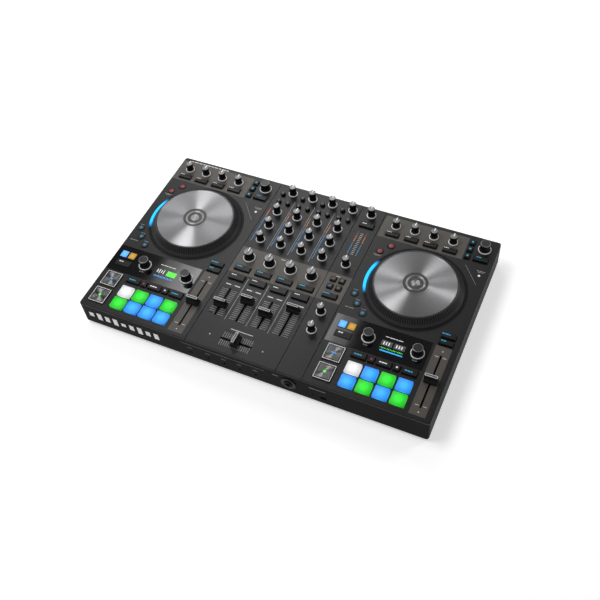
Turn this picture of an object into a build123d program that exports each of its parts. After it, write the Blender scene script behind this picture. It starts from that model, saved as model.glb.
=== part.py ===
"""Four-channel DJ controller: two motorised jog decks either side of a mixer.

Millimetres, +Z up. Plan positions are taken from the centre of the top panel: x to the right, y to the
rear. Heights are taken from the table that the rubber feet stand on. Every piece is its own solid, and
every node is written to parts/NODE.step. One shift in y, applied on writing, centres the outer box.
"""

from build123d import *
import os

# ---- Case ----
CASE_W = 526.0          # outer width
CASE_D = 320.0          # outer depth of the case, without the rear sockets
BODY_H = 40.0           # from the underside of the base cover to the panel
FOOT_H = 6.0            # rubber foot below the base cover
WALL = 2.5              # side walls of the upper housing
FLOOR_T = 2.5           # base cover
DECK_T = 2.5            # inner deck of the upper housing
FACE_T = 2.0            # faceplates on top of the deck
CORNER_R = 4.0          # upright corners of the case
EDGE_CHAMFER = 0.8      # top outer edge of the faceplates
GROOVE = 0.8            # joint between two faceplates
JOINTS_X = (-89.0, 49.0, 86.6)   # centre of each joint between faceplates
BASE_GAP = 0.3          # base cover inside the walls

# ---- Levels ----
TOP = FOOT_H + BODY_H            # panel surface
DECK_TOP = TOP - FACE_T
DECK_BOT = DECK_TOP - DECK_T
BOARD_DROP = 7.5                 # deck underside to control board
BOARD_T = 1.6
BOARD_TOP = DECK_BOT - BOARD_DROP
BASE_TOP = FOOT_H + FLOOR_T
MAIN_LIFT = 3.0                  # main board above the base cover
MAIN_Z = BASE_TOP + MAIN_LIFT

# ---- Clearances ----
KEY_GAP = 0.35          # key to its opening, each side
INSET_GAP = 0.15        # fixed window in its opening
RUN = 0.05              # running fit, on the radius
SHAFT_GAP = 0.5         # control shaft through the deck, on the radius
UNDER_KNOB = 0.5        # knob above the panel
SLIDE_GAP = 0.5         # fader lever in its slot, each side

# ---- Decks ----
DECK_Y = 36.5                    # jog centre, from the panel centre
DECK_INSET = {"left": 86.0, "right": 88.5}    # jog centre from the side of the case
DECK_XS = {"left": DECK_INSET["left"] - CASE_W / 2, "right": CASE_W / 2 - DECK_INSET["right"]}
PRESS_TRAVEL = 1.0
KEY_LIP = 0.6           # retaining lip under the deck
LIP_T = 2.2
LIP_DROP = 0.3          # lip below the deck at rest
SWITCH_H = 1.2          # dome switch on the control board
PLUNGER_GAP = 1.3       # plunger above its dome switch at rest

# ---- Jog wheels ----
JOG_R = 69.0            # foot of the rim
JOG_SLOPE = 9.5         # foot of the rim beyond its crown
JOG_CROWN_R = JOG_R - JOG_SLOPE
RIM_LIP = 1.5           # crown of the rim around the platter
PLATTER_GAP = 0.3
PLATTER_R = JOG_CROWN_R - RIM_LIP - PLATTER_GAP
PLATTER_T = 2.5
PLATTER_TOP = 12.5      # above the panel
JOG_BOSS_R = 21.0
JOG_BOSS_H = 0.5
JOG_LIFT = 0.8          # rim above the deck
JOG_GAP = 0.6           # wheel inside its light ring
LIGHT_W = 3.8
LIGHT_IN = JOG_R + JOG_GAP
LIGHT_OUT = LIGHT_IN + LIGHT_W
HUB_R = 14.0
JOG_SHAFT_R = 6.0
DRIVE_R = 30.0          # direct drive under the wheel
DRIVE_H = 24.0
DRIVE_FLOOR = 3.0

# ---- Knobs: skirt radius, barrel radius, height above the panel ----
KNOB_SMALL = (7.1, 5.3, 16.2)
KNOB_FX = (7.1, 5.3, 14.2)
KNOB_FILTER = (9.2, 6.9, 15.0)
KNOB_ENCODER = (9.5, 7.4, 14.6)
SKIRT_T = 1.4
KNOB_DOME = 0.6
SHAFT_R = 3.0
SHAFT_IN_KNOB = 8.0
POT_W = 9.6
POT_CLEAR = 0.5         # pot body below the deck
POT_FLOOR = 1.5

# ---- Faders ----
LEVER_W = 1.6           # across the slot
LEVER_L = 5.0           # along the slot
FADER_W = 9.0           # body under the deck
FADER_END = 7.0         # body beyond each end of the slot
FADER_WALL = 1.5
CAP_W = 18.4
CAP_L = 11.0
CAP_H = 13.4
CAP_RIDGE = 3.4
CAP_WAIST = 5.0
CAP_LIFT = 0.6
CAP_STEM = 3.0          # lever inside the cap
CARRIAGE_L = 9.0
CARRIAGE_H = 3.0

# ---- Layout, measured from the jog centre in x and from the panel centre in y ----
FX_XS = (-64.8, -35.5, -6.2, 23.1)
FX_KNOB_Y = 136.3
FX_KEY_Y = 119.5
BROWSE = (69.3, 138.8)
LOOP_XS = (-30.5, 39.0)
LOOP_Y = -65.3
TEMPO_X = 69.0
TEMPO_SLOT = (-141.5, -57.0)
TEMPO_TRAVEL = 38.0
BAND_X = (-85.0, 53.0)
BAND_Y = (-89.0, -41.5)
SCREEN_X = 5.0
SCREEN_Y = -66.3
SCREEN_W = 39.5
SCREEN_D = 28.5
PAD_X0 = -31.4
PAD_PITCH = 23.6
PAD_YS = (-118.5, -140.0)
PAD_W = 21.0
PAD_D = 19.6
PAD_RISE = 2.2
PLAY_X = -64.0
PLAY_YS = (-105.5, -137.0)
PLAY_W = 25.5
PLAY_D = 26.5
PLAY_RISE = 1.8
MODE_KEYS = ((-31.5, 21.0), (-13.75, 9.0), (4.0, 21.0), (21.75, 9.0), (39.5, 21.0))
MODE_Y = -97.0
MODE_D = 10.0
KEY_RISE = 3.0          # rectangular keys above the panel
FLAT_RISE = 1.0         # round and band keys above the panel
ROUND_R = 5.6
ROUND_KEYS = ((-58.3, 61.5), (-70.5, 46.8), (-75.8, -38.5), (-66.0, -54.0), (-52.5, -67.0))
DECK_RECTS = (          # x from the jog centre, y from the panel centre, width, depth, rise
    *((x, FX_KEY_Y, 20.5, 9.0, KEY_RISE) for x in FX_XS),
    *((49.8, y, 8.0, 8.5, KEY_RISE) for y in (145.0, 131.5, 118.0)),
    (69.3, 118.5, 21.0, 9.0, KEY_RISE),
    (69.0, -25.0, 20.0, 8.5, KEY_RISE), (69.0, -36.5, 20.0, 8.5, KEY_RISE),
    (-71.0, -57.0, 11.2, 12.0, FLAT_RISE), (-57.7, -57.0, 11.2, 12.0, FLAT_RISE),
    (-64.2, -73.0, 23.5, 11.0, FLAT_RISE),
    *((x, MODE_Y, w, MODE_D, KEY_RISE) for x, w in MODE_KEYS),
)

# ---- Mixer layout, from the panel centre ----
CHANNEL_XS = (-69.5, -36.2, -2.9, 30.4)
GAIN_DX = 7.0
GAIN_Y = 144.0
EQ_YS = (100.3, 70.7, 41.3)
FILTER_Y = 3.3
METER_DX = -13.5
METER_Y = (35.0, 107.0)
METER_W = 2.3
DOME_R = 3.75
DOME_RISE = 5.0
DOMES = ((-7.3, 138.0), (-7.0, 121.5), (8.0, 121.5))
CHANNEL_RECTS = ((0.0, -19.0, 24.5, 9.5), (0.0, -36.5, 24.0, 11.0))
FADER_SLOT = (-107.0, -57.0)
FADER_REST = (-88.5, -69.8, -81.6, -60.5)
FADER_STOPS = (-104.0, -60.0)
CROSS_Y = -138.5
CROSS_SLOT = (-44.0, 4.0)
CROSS_X = -20.0
CROSS_TRAVEL = 20.0
MASTER_X = 67.5
MASTER_KNOBS = {"main_level": 144.0, "booth_level": 41.5, "cue_mix": -49.3, "cue_level": -82.0}
MASTER_METERS = (61.0, 74.3)
MASTER_METER_Y = (62.0, 107.0)
MASTER_RECTS = ((68.3, 122.5, 22.0, 9.5), (67.8, -19.0, 22.0, 9.5),
                *((x, y, 8.5, 8.5) for x in (61.2, 74.3) for y in (10.5, -3.2)))

# ---- Sockets ----
HEADPHONE_X = 67.0
HEADPHONE_Z = TOP - 20.0
BEZEL_R = 11.0
BEZEL_OUT = 1.2
JACK_BORE_R = 3.2
JACK_BUSH_R = 5.5
JACK_LEN = 26.0
JACK_BODY = 12.0
RCA_OUT = 9.5
RCA_R = 4.15
RCA_BORE_R = 1.7
RCA_BLOCK_D = 12.0
RCA_FLANGE_R = 6.0
RCA_EDGE = 1.0          # block beyond the flanges
RCA_PITCH = 15.0
REAR_LOW = MAIN_Z + BOARD_T      # rear sockets stand on the main board
RCA_XS = (-205.0, -173.0, -141.0, -109.0, 8.0)    # centre of each pair: four line inputs, main output
BOOTH_XS = (44.0, 68.0)
MIC_X = -30.0
USB_X = 150.0
USB_W, USB_HT, USB_D = 12.0, 11.0, 16.0
USB_SLOT_W, USB_SLOT_H, USB_SLOT_D = 8.6, 7.8, 9.0
DC_X = 190.0
DC_W, DC_D, DC_BORE_R, DC_PIN_R, DC_BORE_D = 9.0, 14.0, 2.9, 1.0, 9.5
WALL_GAP = 0.3          # socket in the case wall
NOTCH_GAP = 1.0         # notch of the mixer's board around the headphone socket

# ---- Front face details ----
TRIM_XS = (-84.0, -56.0, -31.0, -7.0, 17.0)
TRIM_Z = TOP - 28.0
TRIM_R = 1.9
TRIM_DEPTH = 1.5
NOTCH_X, NOTCH_W, NOTCH_H = 116.8, 8.0, 4.5
PINHOLE_X, PINHOLE_R = 102.0, 1.3

# ---- Fixings ----
CASE_BOSS_R = 3.8
CASE_BOSS_INSET = (5.8, 6.0)     # corner boss from the side and from the front or rear of the case
CASE_BOSS_XS = (CASE_BOSS_INSET[0] - CASE_W / 2, JOINTS_X[0], JOINTS_X[2], CASE_W / 2 - CASE_BOSS_INSET[0])
CASE_BOSS_Y = CASE_D / 2 - CASE_BOSS_INSET[1]
POST_R = 3.0
DECK_POST_DXS = (-46.6, 76.0)    # posts of a deck's board, from the jog centre
SCREW_R = 1.4
HEAD_R = 2.5
HEAD_T = 1.8
SCREW_GAP = 0.1
SCREW_BITE = 9.0
BOARD_BITE = 5.0
FOOT_R = 9.0
FOOT_SPIGOT_R = 3.0
FOOT_INSET = 24.0
BOARD_EDGE = 2.0        # board inside the walls
BOARD_SPLIT = 6.0       # board end from the joint line
DRIVE_GAP = 2.0
MAIN_XS = (-208.0, -60.0, 112.0, 208.0)    # posts of the main board
MAIN_YS = (CASE_D / 2 - 60.0, CASE_D / 2 - 22.0)
MAIN_EDGE = 5.0         # main board beyond its posts
SHIFT_Y = -(RCA_OUT - BEZEL_OUT) / 2


def cylinder(r, z0, z1, x=0.0, y=0.0):
    """Upright cylinder between two levels."""
    return Pos(x, y, z0) * Cylinder(r, z1 - z0, align=(Align.CENTER, Align.CENTER, Align.MIN))


def block(x, y, w, d, z0, z1, r=0.0):
    """Upright block between two levels, with rounded upright corners if r is given."""
    solid = Pos(x, y, z0) * Box(w, d, z1 - z0, align=(Align.CENTER, Align.CENTER, Align.MIN))
    return fillet(solid.edges().filter_by(Axis.Z), r) if r else solid


def rod_y(r, y0, y1, x, z):
    """Cylinder along y between two positions."""
    return Pos(x, (y0 + y1) / 2, z) * Rot(90, 0, 0) * Cylinder(r, y1 - y0)


def turned(points, x=0.0, y=0.0):
    """Solid of revolution about an upright axis, from (radius, level) points."""
    section = make_face(Polyline(*[(r, 0, z) for r, z in points], close=True))
    return Pos(x, y, 0) * revolve(section, Axis.Z)


def mid(pair):
    return sum(pair) / 2


def span(pair):
    return pair[1] - pair[0]


def knobs():
    """Every rotary control: node name -> (x, y, (skirt radius, barrel radius, height))."""
    table = {}
    for side, jog_x in DECK_XS.items():
        for i, dx in enumerate(FX_XS, 1):
            table[f"fx_knob_{side}_{i}"] = (jog_x + dx, FX_KNOB_Y, KNOB_FX)
        table[f"browse_encoder_{side}"] = (jog_x + BROWSE[0], BROWSE[1], KNOB_ENCODER)
        for name, dx in zip(("loop_move", "loop_size"), LOOP_XS):
            table[f"{name}_encoder_{side}"] = (jog_x + dx, LOOP_Y, KNOB_ENCODER)
    for i, x in enumerate(CHANNEL_XS, 1):
        table[f"gain_knob_{i}"] = (x + GAIN_DX, GAIN_Y, KNOB_SMALL)
        for band, y in zip(("high", "mid", "low"), EQ_YS):
            table[f"{band}_knob_{i}"] = (x, y, KNOB_SMALL)
        table[f"filter_knob_{i}"] = (x, FILTER_Y, KNOB_FILTER)
    for name, y in MASTER_KNOBS.items():
        table[f"{name}_knob"] = (MASTER_X, y, KNOB_SMALL)
    return table


def faders():
    """Every linear control: node name -> (slot centre x, y, slot length, cap position, along x?)."""
    table = {f"channel_fader_{i}": (x, mid(FADER_SLOT), span(FADER_SLOT), rest, False)
             for i, (x, rest) in enumerate(zip(CHANNEL_XS, FADER_REST), 1)}
    table["crossfader"] = (mid(CROSS_SLOT), CROSS_Y, span(CROSS_SLOT), CROSS_X, True)
    for side, jog_x in DECK_XS.items():
        y = mid(TEMPO_SLOT)
        table[f"tempo_fader_{side}"] = (jog_x + TEMPO_X, y, span(TEMPO_SLOT), y, False)
    return table


def keys():
    """Every key: bank name -> list of (x, y, width, depth, rise); a depth of 0 means round."""
    banks = {"performance_pads": [], "transport_buttons": [], "deck_keys": [], "mixer_keys": []}
    for jog_x in DECK_XS.values():
        banks["performance_pads"] += [(jog_x + PAD_X0 + PAD_PITCH * i, y, PAD_W, PAD_D, PAD_RISE)
                                      for y in PAD_YS for i in range(4)]
        banks["transport_buttons"] += [(jog_x + PLAY_X, y, PLAY_W, PLAY_D, PLAY_RISE) for y in PLAY_YS]
        banks["deck_keys"] += [(jog_x + x, y, w, d, rise) for x, y, w, d, rise in DECK_RECTS]
        banks["deck_keys"] += [(jog_x + dx, DECK_Y + dy, 2 * ROUND_R, 0, FLAT_RISE)
                               for dx, dy in ROUND_KEYS]
    for x in CHANNEL_XS:
        banks["mixer_keys"] += [(x + dx, y, w, d, KEY_RISE) for dx, y, w, d in CHANNEL_RECTS]
        banks["mixer_keys"] += [(x + dx, y, 2 * DOME_R, 0, DOME_RISE) for dx, y in DOMES]
    banks["mixer_keys"] += [(x, y, w, d, KEY_RISE) for x, y, w, d in MASTER_RECTS]
    return banks


def key_prism(key, grow, z0, z1):
    """Prism with a key's outline, grown by a margin, for the key itself and for its openings."""
    x, y, w, d, _ = key
    if not d:
        return cylinder(w / 2 + grow, z0, z1, x, y)
    return block(x, y, w + 2 * grow, d + 2 * grow, z0, z1)


def make_key(key):
    """One key: cap through the deck, retaining lip under it and plunger above its dome switch."""
    rise = key[4]
    lip_top = DECK_BOT - LIP_DROP
    foot = BOARD_TOP + SWITCH_H + PLUNGER_GAP
    cap = key_prism(key, 0, lip_top, TOP + rise)
    top = cap.faces().sort_by(Axis.Z)[-1]
    cap = chamfer(top.edges(), min(0.8, rise / 2)) if rise < DOME_RISE else fillet(top.edges(), 2.4)
    lip = key_prism(key, KEY_LIP, lip_top - LIP_T, lip_top)
    return cap + lip + cylinder(1.6, foot, lip_top - LIP_T, key[0], key[1])


def make_knob(x, y, shape):
    """Knob with a blind bore, and the control's shaft standing in it."""
    skirt_r, barrel_r, height = shape
    low, high = TOP + UNDER_KNOB, TOP + height
    bore_top = low + SHAFT_IN_KNOB
    bore_r = SHAFT_R + RUN
    knob = turned([(bore_r, low), (skirt_r, low), (skirt_r, low + SKIRT_T - 0.5),
                   (skirt_r - 0.5, low + SKIRT_T), (barrel_r + 0.3, low + SKIRT_T),
                   (barrel_r - 0.2, high - KNOB_DOME), (barrel_r - 1.0, high), (0, high),
                   (0, bore_top), (bore_r, bore_top)], x, y)
    shaft = cylinder(SHAFT_R, BOARD_TOP + POT_FLOOR + RUN, bore_top, x, y)
    return [knob, shaft]


def make_pot(x, y):
    """Body of a rotary control, standing on the control board."""
    body = block(x, y, POT_W, POT_W, BOARD_TOP, DECK_BOT - POT_CLEAR)
    return body - cylinder(SHAFT_R + RUN, BOARD_TOP + POT_FLOOR, DECK_BOT, x, y)


def fader_frame(x, y, along_x):
    """Placement of a fader whose own travel runs along local y."""
    return Pos(x, y, 0) * Rot(0, 0, 90 if along_x else 0)


def make_fader(x, y, length, rest, along_x):
    """Cap, lever and carriage of one fader, standing at its rest position."""
    low = TOP + CAP_LIFT
    half = CAP_L / 2
    outline = [(-half, low), (half, low), (half, low + 3.0), (CAP_WAIST / 2, low + 6.5),
               (CAP_RIDGE / 2, TOP + CAP_H), (-CAP_RIDGE / 2, TOP + CAP_H),
               (-CAP_WAIST / 2, low + 6.5), (-half, low + 3.0)]
    face = make_face(Polyline(*[(0, py, pz) for py, pz in outline], close=True))
    cap = extrude(face, CAP_W / 2, dir=(1, 0, 0), both=True)
    cap -= block(0, 0, LEVER_W + 2 * RUN, LEVER_L + 2 * RUN, low, low + CAP_STEM)
    carriage_z = BOARD_TOP + FADER_WALL + 0.5
    lever = block(0, 0, LEVER_W, LEVER_L, carriage_z, low + CAP_STEM)
    carriage = block(0, 0, FADER_W - 2 * FADER_WALL - 0.8, CARRIAGE_L, carriage_z, carriage_z + CARRIAGE_H)
    place = fader_frame(rest, y, True) if along_x else fader_frame(x, rest, False)
    return [place * cap, place * (lever + carriage)]


def make_fader_body(x, y, length, along_x):
    """Track of one fader on the control board, open along its top slot."""
    outer = length + 2 * FADER_END
    top = DECK_BOT - POT_CLEAR
    body = block(0, 0, FADER_W, outer, BOARD_TOP, top)
    body -= block(0, 0, FADER_W - 2 * FADER_WALL, outer - 2 * FADER_WALL, BOARD_TOP + FADER_WALL,
                  top - FADER_WALL)
    body -= block(0, 0, LEVER_W + 2 * SLIDE_GAP, length, BOARD_TOP + FADER_WALL, top + 1)
    return fader_frame(x, y, along_x) * body


def make_jog(x):
    """Jog wheel: ribbed rim with its hub and shaft, and the metal platter that lies on it."""
    foot = DECK_TOP + JOG_LIFT
    crown = TOP + PLATTER_TOP
    seat = crown - PLATTER_T
    web = foot + 2.0
    shaft_end = DECK_BOT - DRIVE_H + DRIVE_FLOOR
    inner = PLATTER_R + PLATTER_GAP
    rim = turned([(0, shaft_end), (JOG_SHAFT_R, shaft_end), (JOG_SHAFT_R, DECK_BOT + 0.6),
                  (HUB_R, DECK_BOT + 0.6), (HUB_R, foot), (JOG_R, foot), (JOG_R, foot + 1.8),
                  (JOG_CROWN_R, crown - 0.8), (JOG_CROWN_R - 0.8, crown - 0.1), (inner, crown - 0.1),
                  (inner, seat), (inner - 6.0, seat), (inner - 6.0, web), (HUB_R, web), (HUB_R, seat),
                  (0, seat)], x, DECK_Y)
    platter = turned([(0, seat), (PLATTER_R, seat), (PLATTER_R, crown - 0.6), (PLATTER_R - 0.6, crown),
                      (JOG_BOSS_R, crown), (JOG_BOSS_R - 0.5, crown + JOG_BOSS_H),
                      (0, crown + JOG_BOSS_H)], x, DECK_Y)
    return [rim, platter]


def make_drive(x):
    """Direct drive of a jog wheel, hung under the deck, with the bore that carries the shaft."""
    low = DECK_BOT - DRIVE_H
    drive = cylinder(DRIVE_R, low, DECK_BOT, x, DECK_Y)
    return drive - cylinder(JOG_SHAFT_R + RUN, low + DRIVE_FLOOR - RUN, DECK_BOT + 1, x, DECK_Y)


def bands():
    """Glossy display band of each deck: (centre x, centre y, width, depth)."""
    return [(jog_x + mid(BAND_X), mid(BAND_Y), span(BAND_X), span(BAND_Y)) for jog_x in DECK_XS.values()]


def meters():
    """Level meter windows: (centre x, centre y, length)."""
    rows = [(x + METER_DX, mid(METER_Y), span(METER_Y)) for x in CHANNEL_XS]
    return rows + [(x, mid(MASTER_METER_Y), span(MASTER_METER_Y)) for x in MASTER_METERS]


def control_openings(z0, z1):
    """Prisms of every opening that a control needs between two levels."""
    holes = [key_prism(key, KEY_GAP, z0, z1) for bank in keys().values() for key in bank]
    holes += [cylinder(SHAFT_R + SHAFT_GAP, z0, z1, x, y) for x, y, _ in knobs().values()]
    for x, y, length, _, along_x in faders().values():
        slot = block(0, 0, LEVER_W + 2 * SLIDE_GAP, length, z0, z1)
        holes.append(fader_frame(x, y, along_x) * slot)
    return holes


def socket_holes():
    """Round and square openings of the front and rear walls."""
    front, rear = -CASE_D / 2, CASE_D / 2
    cuts = [rod_y(JACK_BUSH_R + WALL_GAP, front - 1, front + WALL + 1, HEADPHONE_X, HEADPHONE_Z)]
    for pair_x in RCA_XS:
        for x, z in rca_centres(pair_x):
            cuts.append(rod_y(RCA_FLANGE_R + WALL_GAP, rear - WALL - 1, rear + 1, x, z))
    for x in (*BOOTH_XS, MIC_X):
        cuts.append(rod_y(JACK_BUSH_R + WALL_GAP, rear - WALL - 1, rear + 1, x, REAR_LOW + JACK_BODY / 2))
    for x, w, h in ((USB_X, USB_W, USB_HT), (DC_X, DC_W, USB_HT)):
        cuts.append(Pos(x, rear - WALL / 2, REAR_LOW + h / 2) *
                    Box(w + 2 * WALL_GAP, WALL + 2, h + 2 * WALL_GAP))
    cuts += [rod_y(TRIM_R, front - 1, front + TRIM_DEPTH, x, TRIM_Z) for x in TRIM_XS]
    cuts.append(rod_y(PINHOLE_R, front - 1, front + TRIM_DEPTH, PINHOLE_X, TRIM_Z + 1))
    cuts.append(Pos(NOTCH_X, front, TRIM_Z) * Box(NOTCH_W, 2 * TRIM_DEPTH, NOTCH_H))
    return cuts


def bosses():
    return [(x, y) for x in CASE_BOSS_XS for y in (-CASE_BOSS_Y, CASE_BOSS_Y)]


def boards():
    """Outline of each control board: (x0, x1)."""
    edge = CASE_W / 2 - WALL - BOARD_EDGE
    left, _, right = JOINTS_X
    return [(-edge, left - BOARD_SPLIT), (left + BOARD_SPLIT, right - BOARD_SPLIT),
            (right + BOARD_SPLIT, edge)]


def posts():
    """Posts under the deck that the control boards are screwed to."""
    y = CASE_D / 2 - WALL - BOARD_EDGE - POST_R
    mixer = boards()[1]
    xs = [jog_x + dx for jog_x in DECK_XS.values() for dx in DECK_POST_DXS]
    xs += [mixer[0] + POST_R, mixer[1] - POST_R]
    return [(x, s * y) for x in xs for s in (-1, 1)]


def main_posts():
    return [(x, y) for x in MAIN_XS for y in MAIN_YS]


def make_housing():
    shell = block(0, 0, CASE_W, CASE_D, FOOT_H, DECK_TOP, CORNER_R)
    shell -= block(0, 0, CASE_W - 2 * WALL, CASE_D - 2 * WALL, FOOT_H, DECK_BOT, CORNER_R - WALL)
    adds = [cylinder(CASE_BOSS_R, BASE_TOP, DECK_BOT, x, y) for x, y in bosses()]
    adds += [cylinder(POST_R, BOARD_TOP, DECK_BOT, x, y) for x, y in posts()]
    shell = shell + adds
    cuts = control_openings(DECK_BOT - 0.01, DECK_TOP + 1)
    cuts += [cylinder(HUB_R + 1.0, DECK_BOT - 0.01, DECK_TOP + 1, x, DECK_Y) for x in DECK_XS.values()]
    cuts += [block(x + SCREEN_X, SCREEN_Y, SCREEN_W + 2 * KEY_GAP, SCREEN_D + 2 * KEY_GAP,
                   DECK_BOT - 0.01, DECK_TOP + 1) for x in DECK_XS.values()]
    cuts += [cylinder(SCREW_R + SCREW_GAP, BASE_TOP - 1, BASE_TOP + SCREW_BITE + 1, x, y)
             for x, y in bosses()]
    cuts += [cylinder(SCREW_R + SCREW_GAP, BOARD_TOP - 1, BOARD_TOP + BOARD_BITE + 1, x, y)
             for x, y in posts()]
    return [shell - cuts - socket_holes()]


def make_faceplates():
    plate = block(0, 0, CASE_W, CASE_D, DECK_TOP, TOP, CORNER_R)
    plate = chamfer(plate.faces().sort_by(Axis.Z)[-1].edges(), EDGE_CHAMFER)
    z0, z1 = DECK_TOP - 1, TOP + 1
    cuts = [block(x, 0, GROOVE, CASE_D + 2, z0, z1) for x in JOINTS_X]
    cuts += control_openings(z0, z1)
    cuts += [cylinder(LIGHT_OUT + INSET_GAP, z0, z1, x, DECK_Y) for x in DECK_XS.values()]
    cuts += [block(x, y, w + 2 * INSET_GAP, d + 2 * INSET_GAP, z0, z1) for x, y, w, d in bands()]
    cuts += [block(x, y, METER_W + 2 * INSET_GAP, length + 2 * INSET_GAP, z0, z1)
             for x, y, length in meters()]
    return (plate - cuts).solids()


def make_windows():
    """Display bands with their screens' glass, light rings of the jog wheels and meter windows."""
    openings = control_openings(DECK_TOP - 1, TOP + 1)
    glass = [block(x, y, w, d, DECK_TOP, TOP) - openings for x, y, w, d in bands()]
    rings = [cylinder(LIGHT_OUT, DECK_TOP, TOP, x, DECK_Y) - cylinder(LIGHT_IN, DECK_TOP - 1, TOP + 1, x,
                                                                      DECK_Y) for x in DECK_XS.values()]
    strips = [block(x, y, METER_W, length, DECK_TOP, TOP + 0.1) for x, y, length in meters()]
    return [s for g in glass for s in g.solids()] + rings + strips


def make_base():
    cover = block(0, 0, CASE_W - 2 * (WALL + BASE_GAP), CASE_D - 2 * (WALL + BASE_GAP), FOOT_H, BASE_TOP,
                  max(CORNER_R - WALL - BASE_GAP, 0.5))
    cover += [cylinder(POST_R, BASE_TOP, MAIN_Z, x, y) for x, y in main_posts()]
    cuts = [cylinder(SCREW_R + SCREW_GAP, FOOT_H - 1, BASE_TOP + 1, x, y) for x, y in bosses()]
    cuts += [cylinder(HEAD_R + SCREW_GAP, FOOT_H - 1, FOOT_H + HEAD_T, x, y) for x, y in bosses()]
    cuts += [cylinder(FOOT_SPIGOT_R, FOOT_H - 1, BASE_TOP + 1, x, y) for x, y in feet()]
    cuts += [cylinder(SCREW_R + SCREW_GAP, FOOT_H + 1, MAIN_Z + 1, x, y) for x, y in main_posts()]
    return [cover - cuts]


def feet():
    return [(sx * (CASE_W / 2 - FOOT_INSET), sy * (CASE_D / 2 - FOOT_INSET)) for sx in (-1, 1)
            for sy in (-1, 1)]


def make_feet():
    """Round rubber feet, each with a spigot pushed through the base cover."""
    return [turned([(0, 0), (FOOT_R - 1.0, 0), (FOOT_R, 1.0), (FOOT_R, FOOT_H), (FOOT_SPIGOT_R, FOOT_H),
                    (FOOT_SPIGOT_R, BASE_TOP), (0, BASE_TOP)], x, y) for x, y in feet()]


def make_boards():
    """Control boards with their dome switches and displays, and the main board at the rear."""
    depth = CASE_D - 2 * (WALL + BOARD_EDGE)
    cuts = [cylinder(CASE_BOSS_R + 1, 0, TOP, x, y) for x, y in bosses()]
    cuts += [cylinder(DRIVE_R + DRIVE_GAP, 0, TOP, x, DECK_Y) for x in DECK_XS.values()]
    cuts.append(block(HEADPHONE_X, -CASE_D / 2, JACK_BODY + 2 * NOTCH_GAP, 2 * (JACK_LEN + NOTCH_GAP), 0,
                      TOP))
    holes = [cylinder(SCREW_R + SCREW_GAP, 0, BOARD_TOP + 1, x, y) for x, y in posts()]
    pieces = [block(mid(xs), 0, span(xs), depth, BOARD_TOP - BOARD_T, BOARD_TOP) - cuts - holes
              for xs in boards()]
    pieces += [cylinder(2.0, BOARD_TOP, BOARD_TOP + SWITCH_H, key[0], key[1])
               for bank in keys().values() for key in bank]
    pieces += [block(x + SCREEN_X, SCREEN_Y, SCREEN_W, SCREEN_D, DECK_TOP - 3.0, DECK_TOP)
               for x in DECK_XS.values()]
    front, rear = MAIN_YS[0] - MAIN_EDGE, CASE_D / 2 - WALL - BOARD_EDGE / 2
    main = block((MAIN_XS[0] + MAIN_XS[-1]) / 2, (front + rear) / 2, MAIN_XS[-1] - MAIN_XS[0] + 4 * MAIN_EDGE,
                 rear - front, MAIN_Z, MAIN_Z + BOARD_T) - cuts
    main -= [cylinder(SCREW_R + SCREW_GAP, MAIN_Z - 1, TOP, x, y) for x, y in main_posts()]
    return pieces + [main]


def make_screw(x, y, seat, bite, up=True):
    """Pan-head screw under a seat, running up, or down, into its boss."""
    s = 1 if up else -1
    head = cylinder(HEAD_R, min(seat, seat - s * HEAD_T), max(seat, seat - s * HEAD_T), x, y)
    shank = cylinder(SCREW_R, min(seat, seat + s * bite), max(seat, seat + s * bite), x, y)
    return head + shank


def make_screws():
    screws = [make_screw(x, y, FOOT_H + HEAD_T, FLOOR_T - HEAD_T + SCREW_BITE) for x, y in bosses()]
    screws += [make_screw(x, y, BOARD_TOP - BOARD_T, BOARD_T + BOARD_BITE) for x, y in posts()]
    screws += [make_screw(x, y, MAIN_Z + BOARD_T, BOARD_T + MAIN_LIFT, up=False)
               for x, y in main_posts()]
    return screws


def rca_centres(pair_x):
    """Centres of one pair of phono sockets: (x, z)."""
    z = REAR_LOW + RCA_FLANGE_R + RCA_EDGE
    return [(pair_x + s * RCA_PITCH / 2, z) for s in (-1, 1)]


def make_jack(x, wall_y, z, sign, bezel):
    """6.3 mm jack socket: body, bush through the wall and, on the front, a wide bezel."""
    inner = wall_y + sign * WALL
    deep = wall_y + sign * JACK_LEN
    body = Pos(x, (inner + deep) / 2, z) * Box(JACK_BODY, abs(deep - inner), JACK_BODY)
    y0, y1 = sorted((wall_y, inner + sign))
    body += rod_y(JACK_BUSH_R, y0, y1, x, z)
    out = wall_y
    if bezel:
        out = wall_y - sign * BEZEL_OUT
        y0, y1 = sorted((wall_y, out))
        body += rod_y(BEZEL_R, y0, y1, x, z)
    y0, y1 = sorted((out - sign, deep - sign * 2.0))
    return body - rod_y(JACK_BORE_R, y0, y1, x, z)


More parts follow.
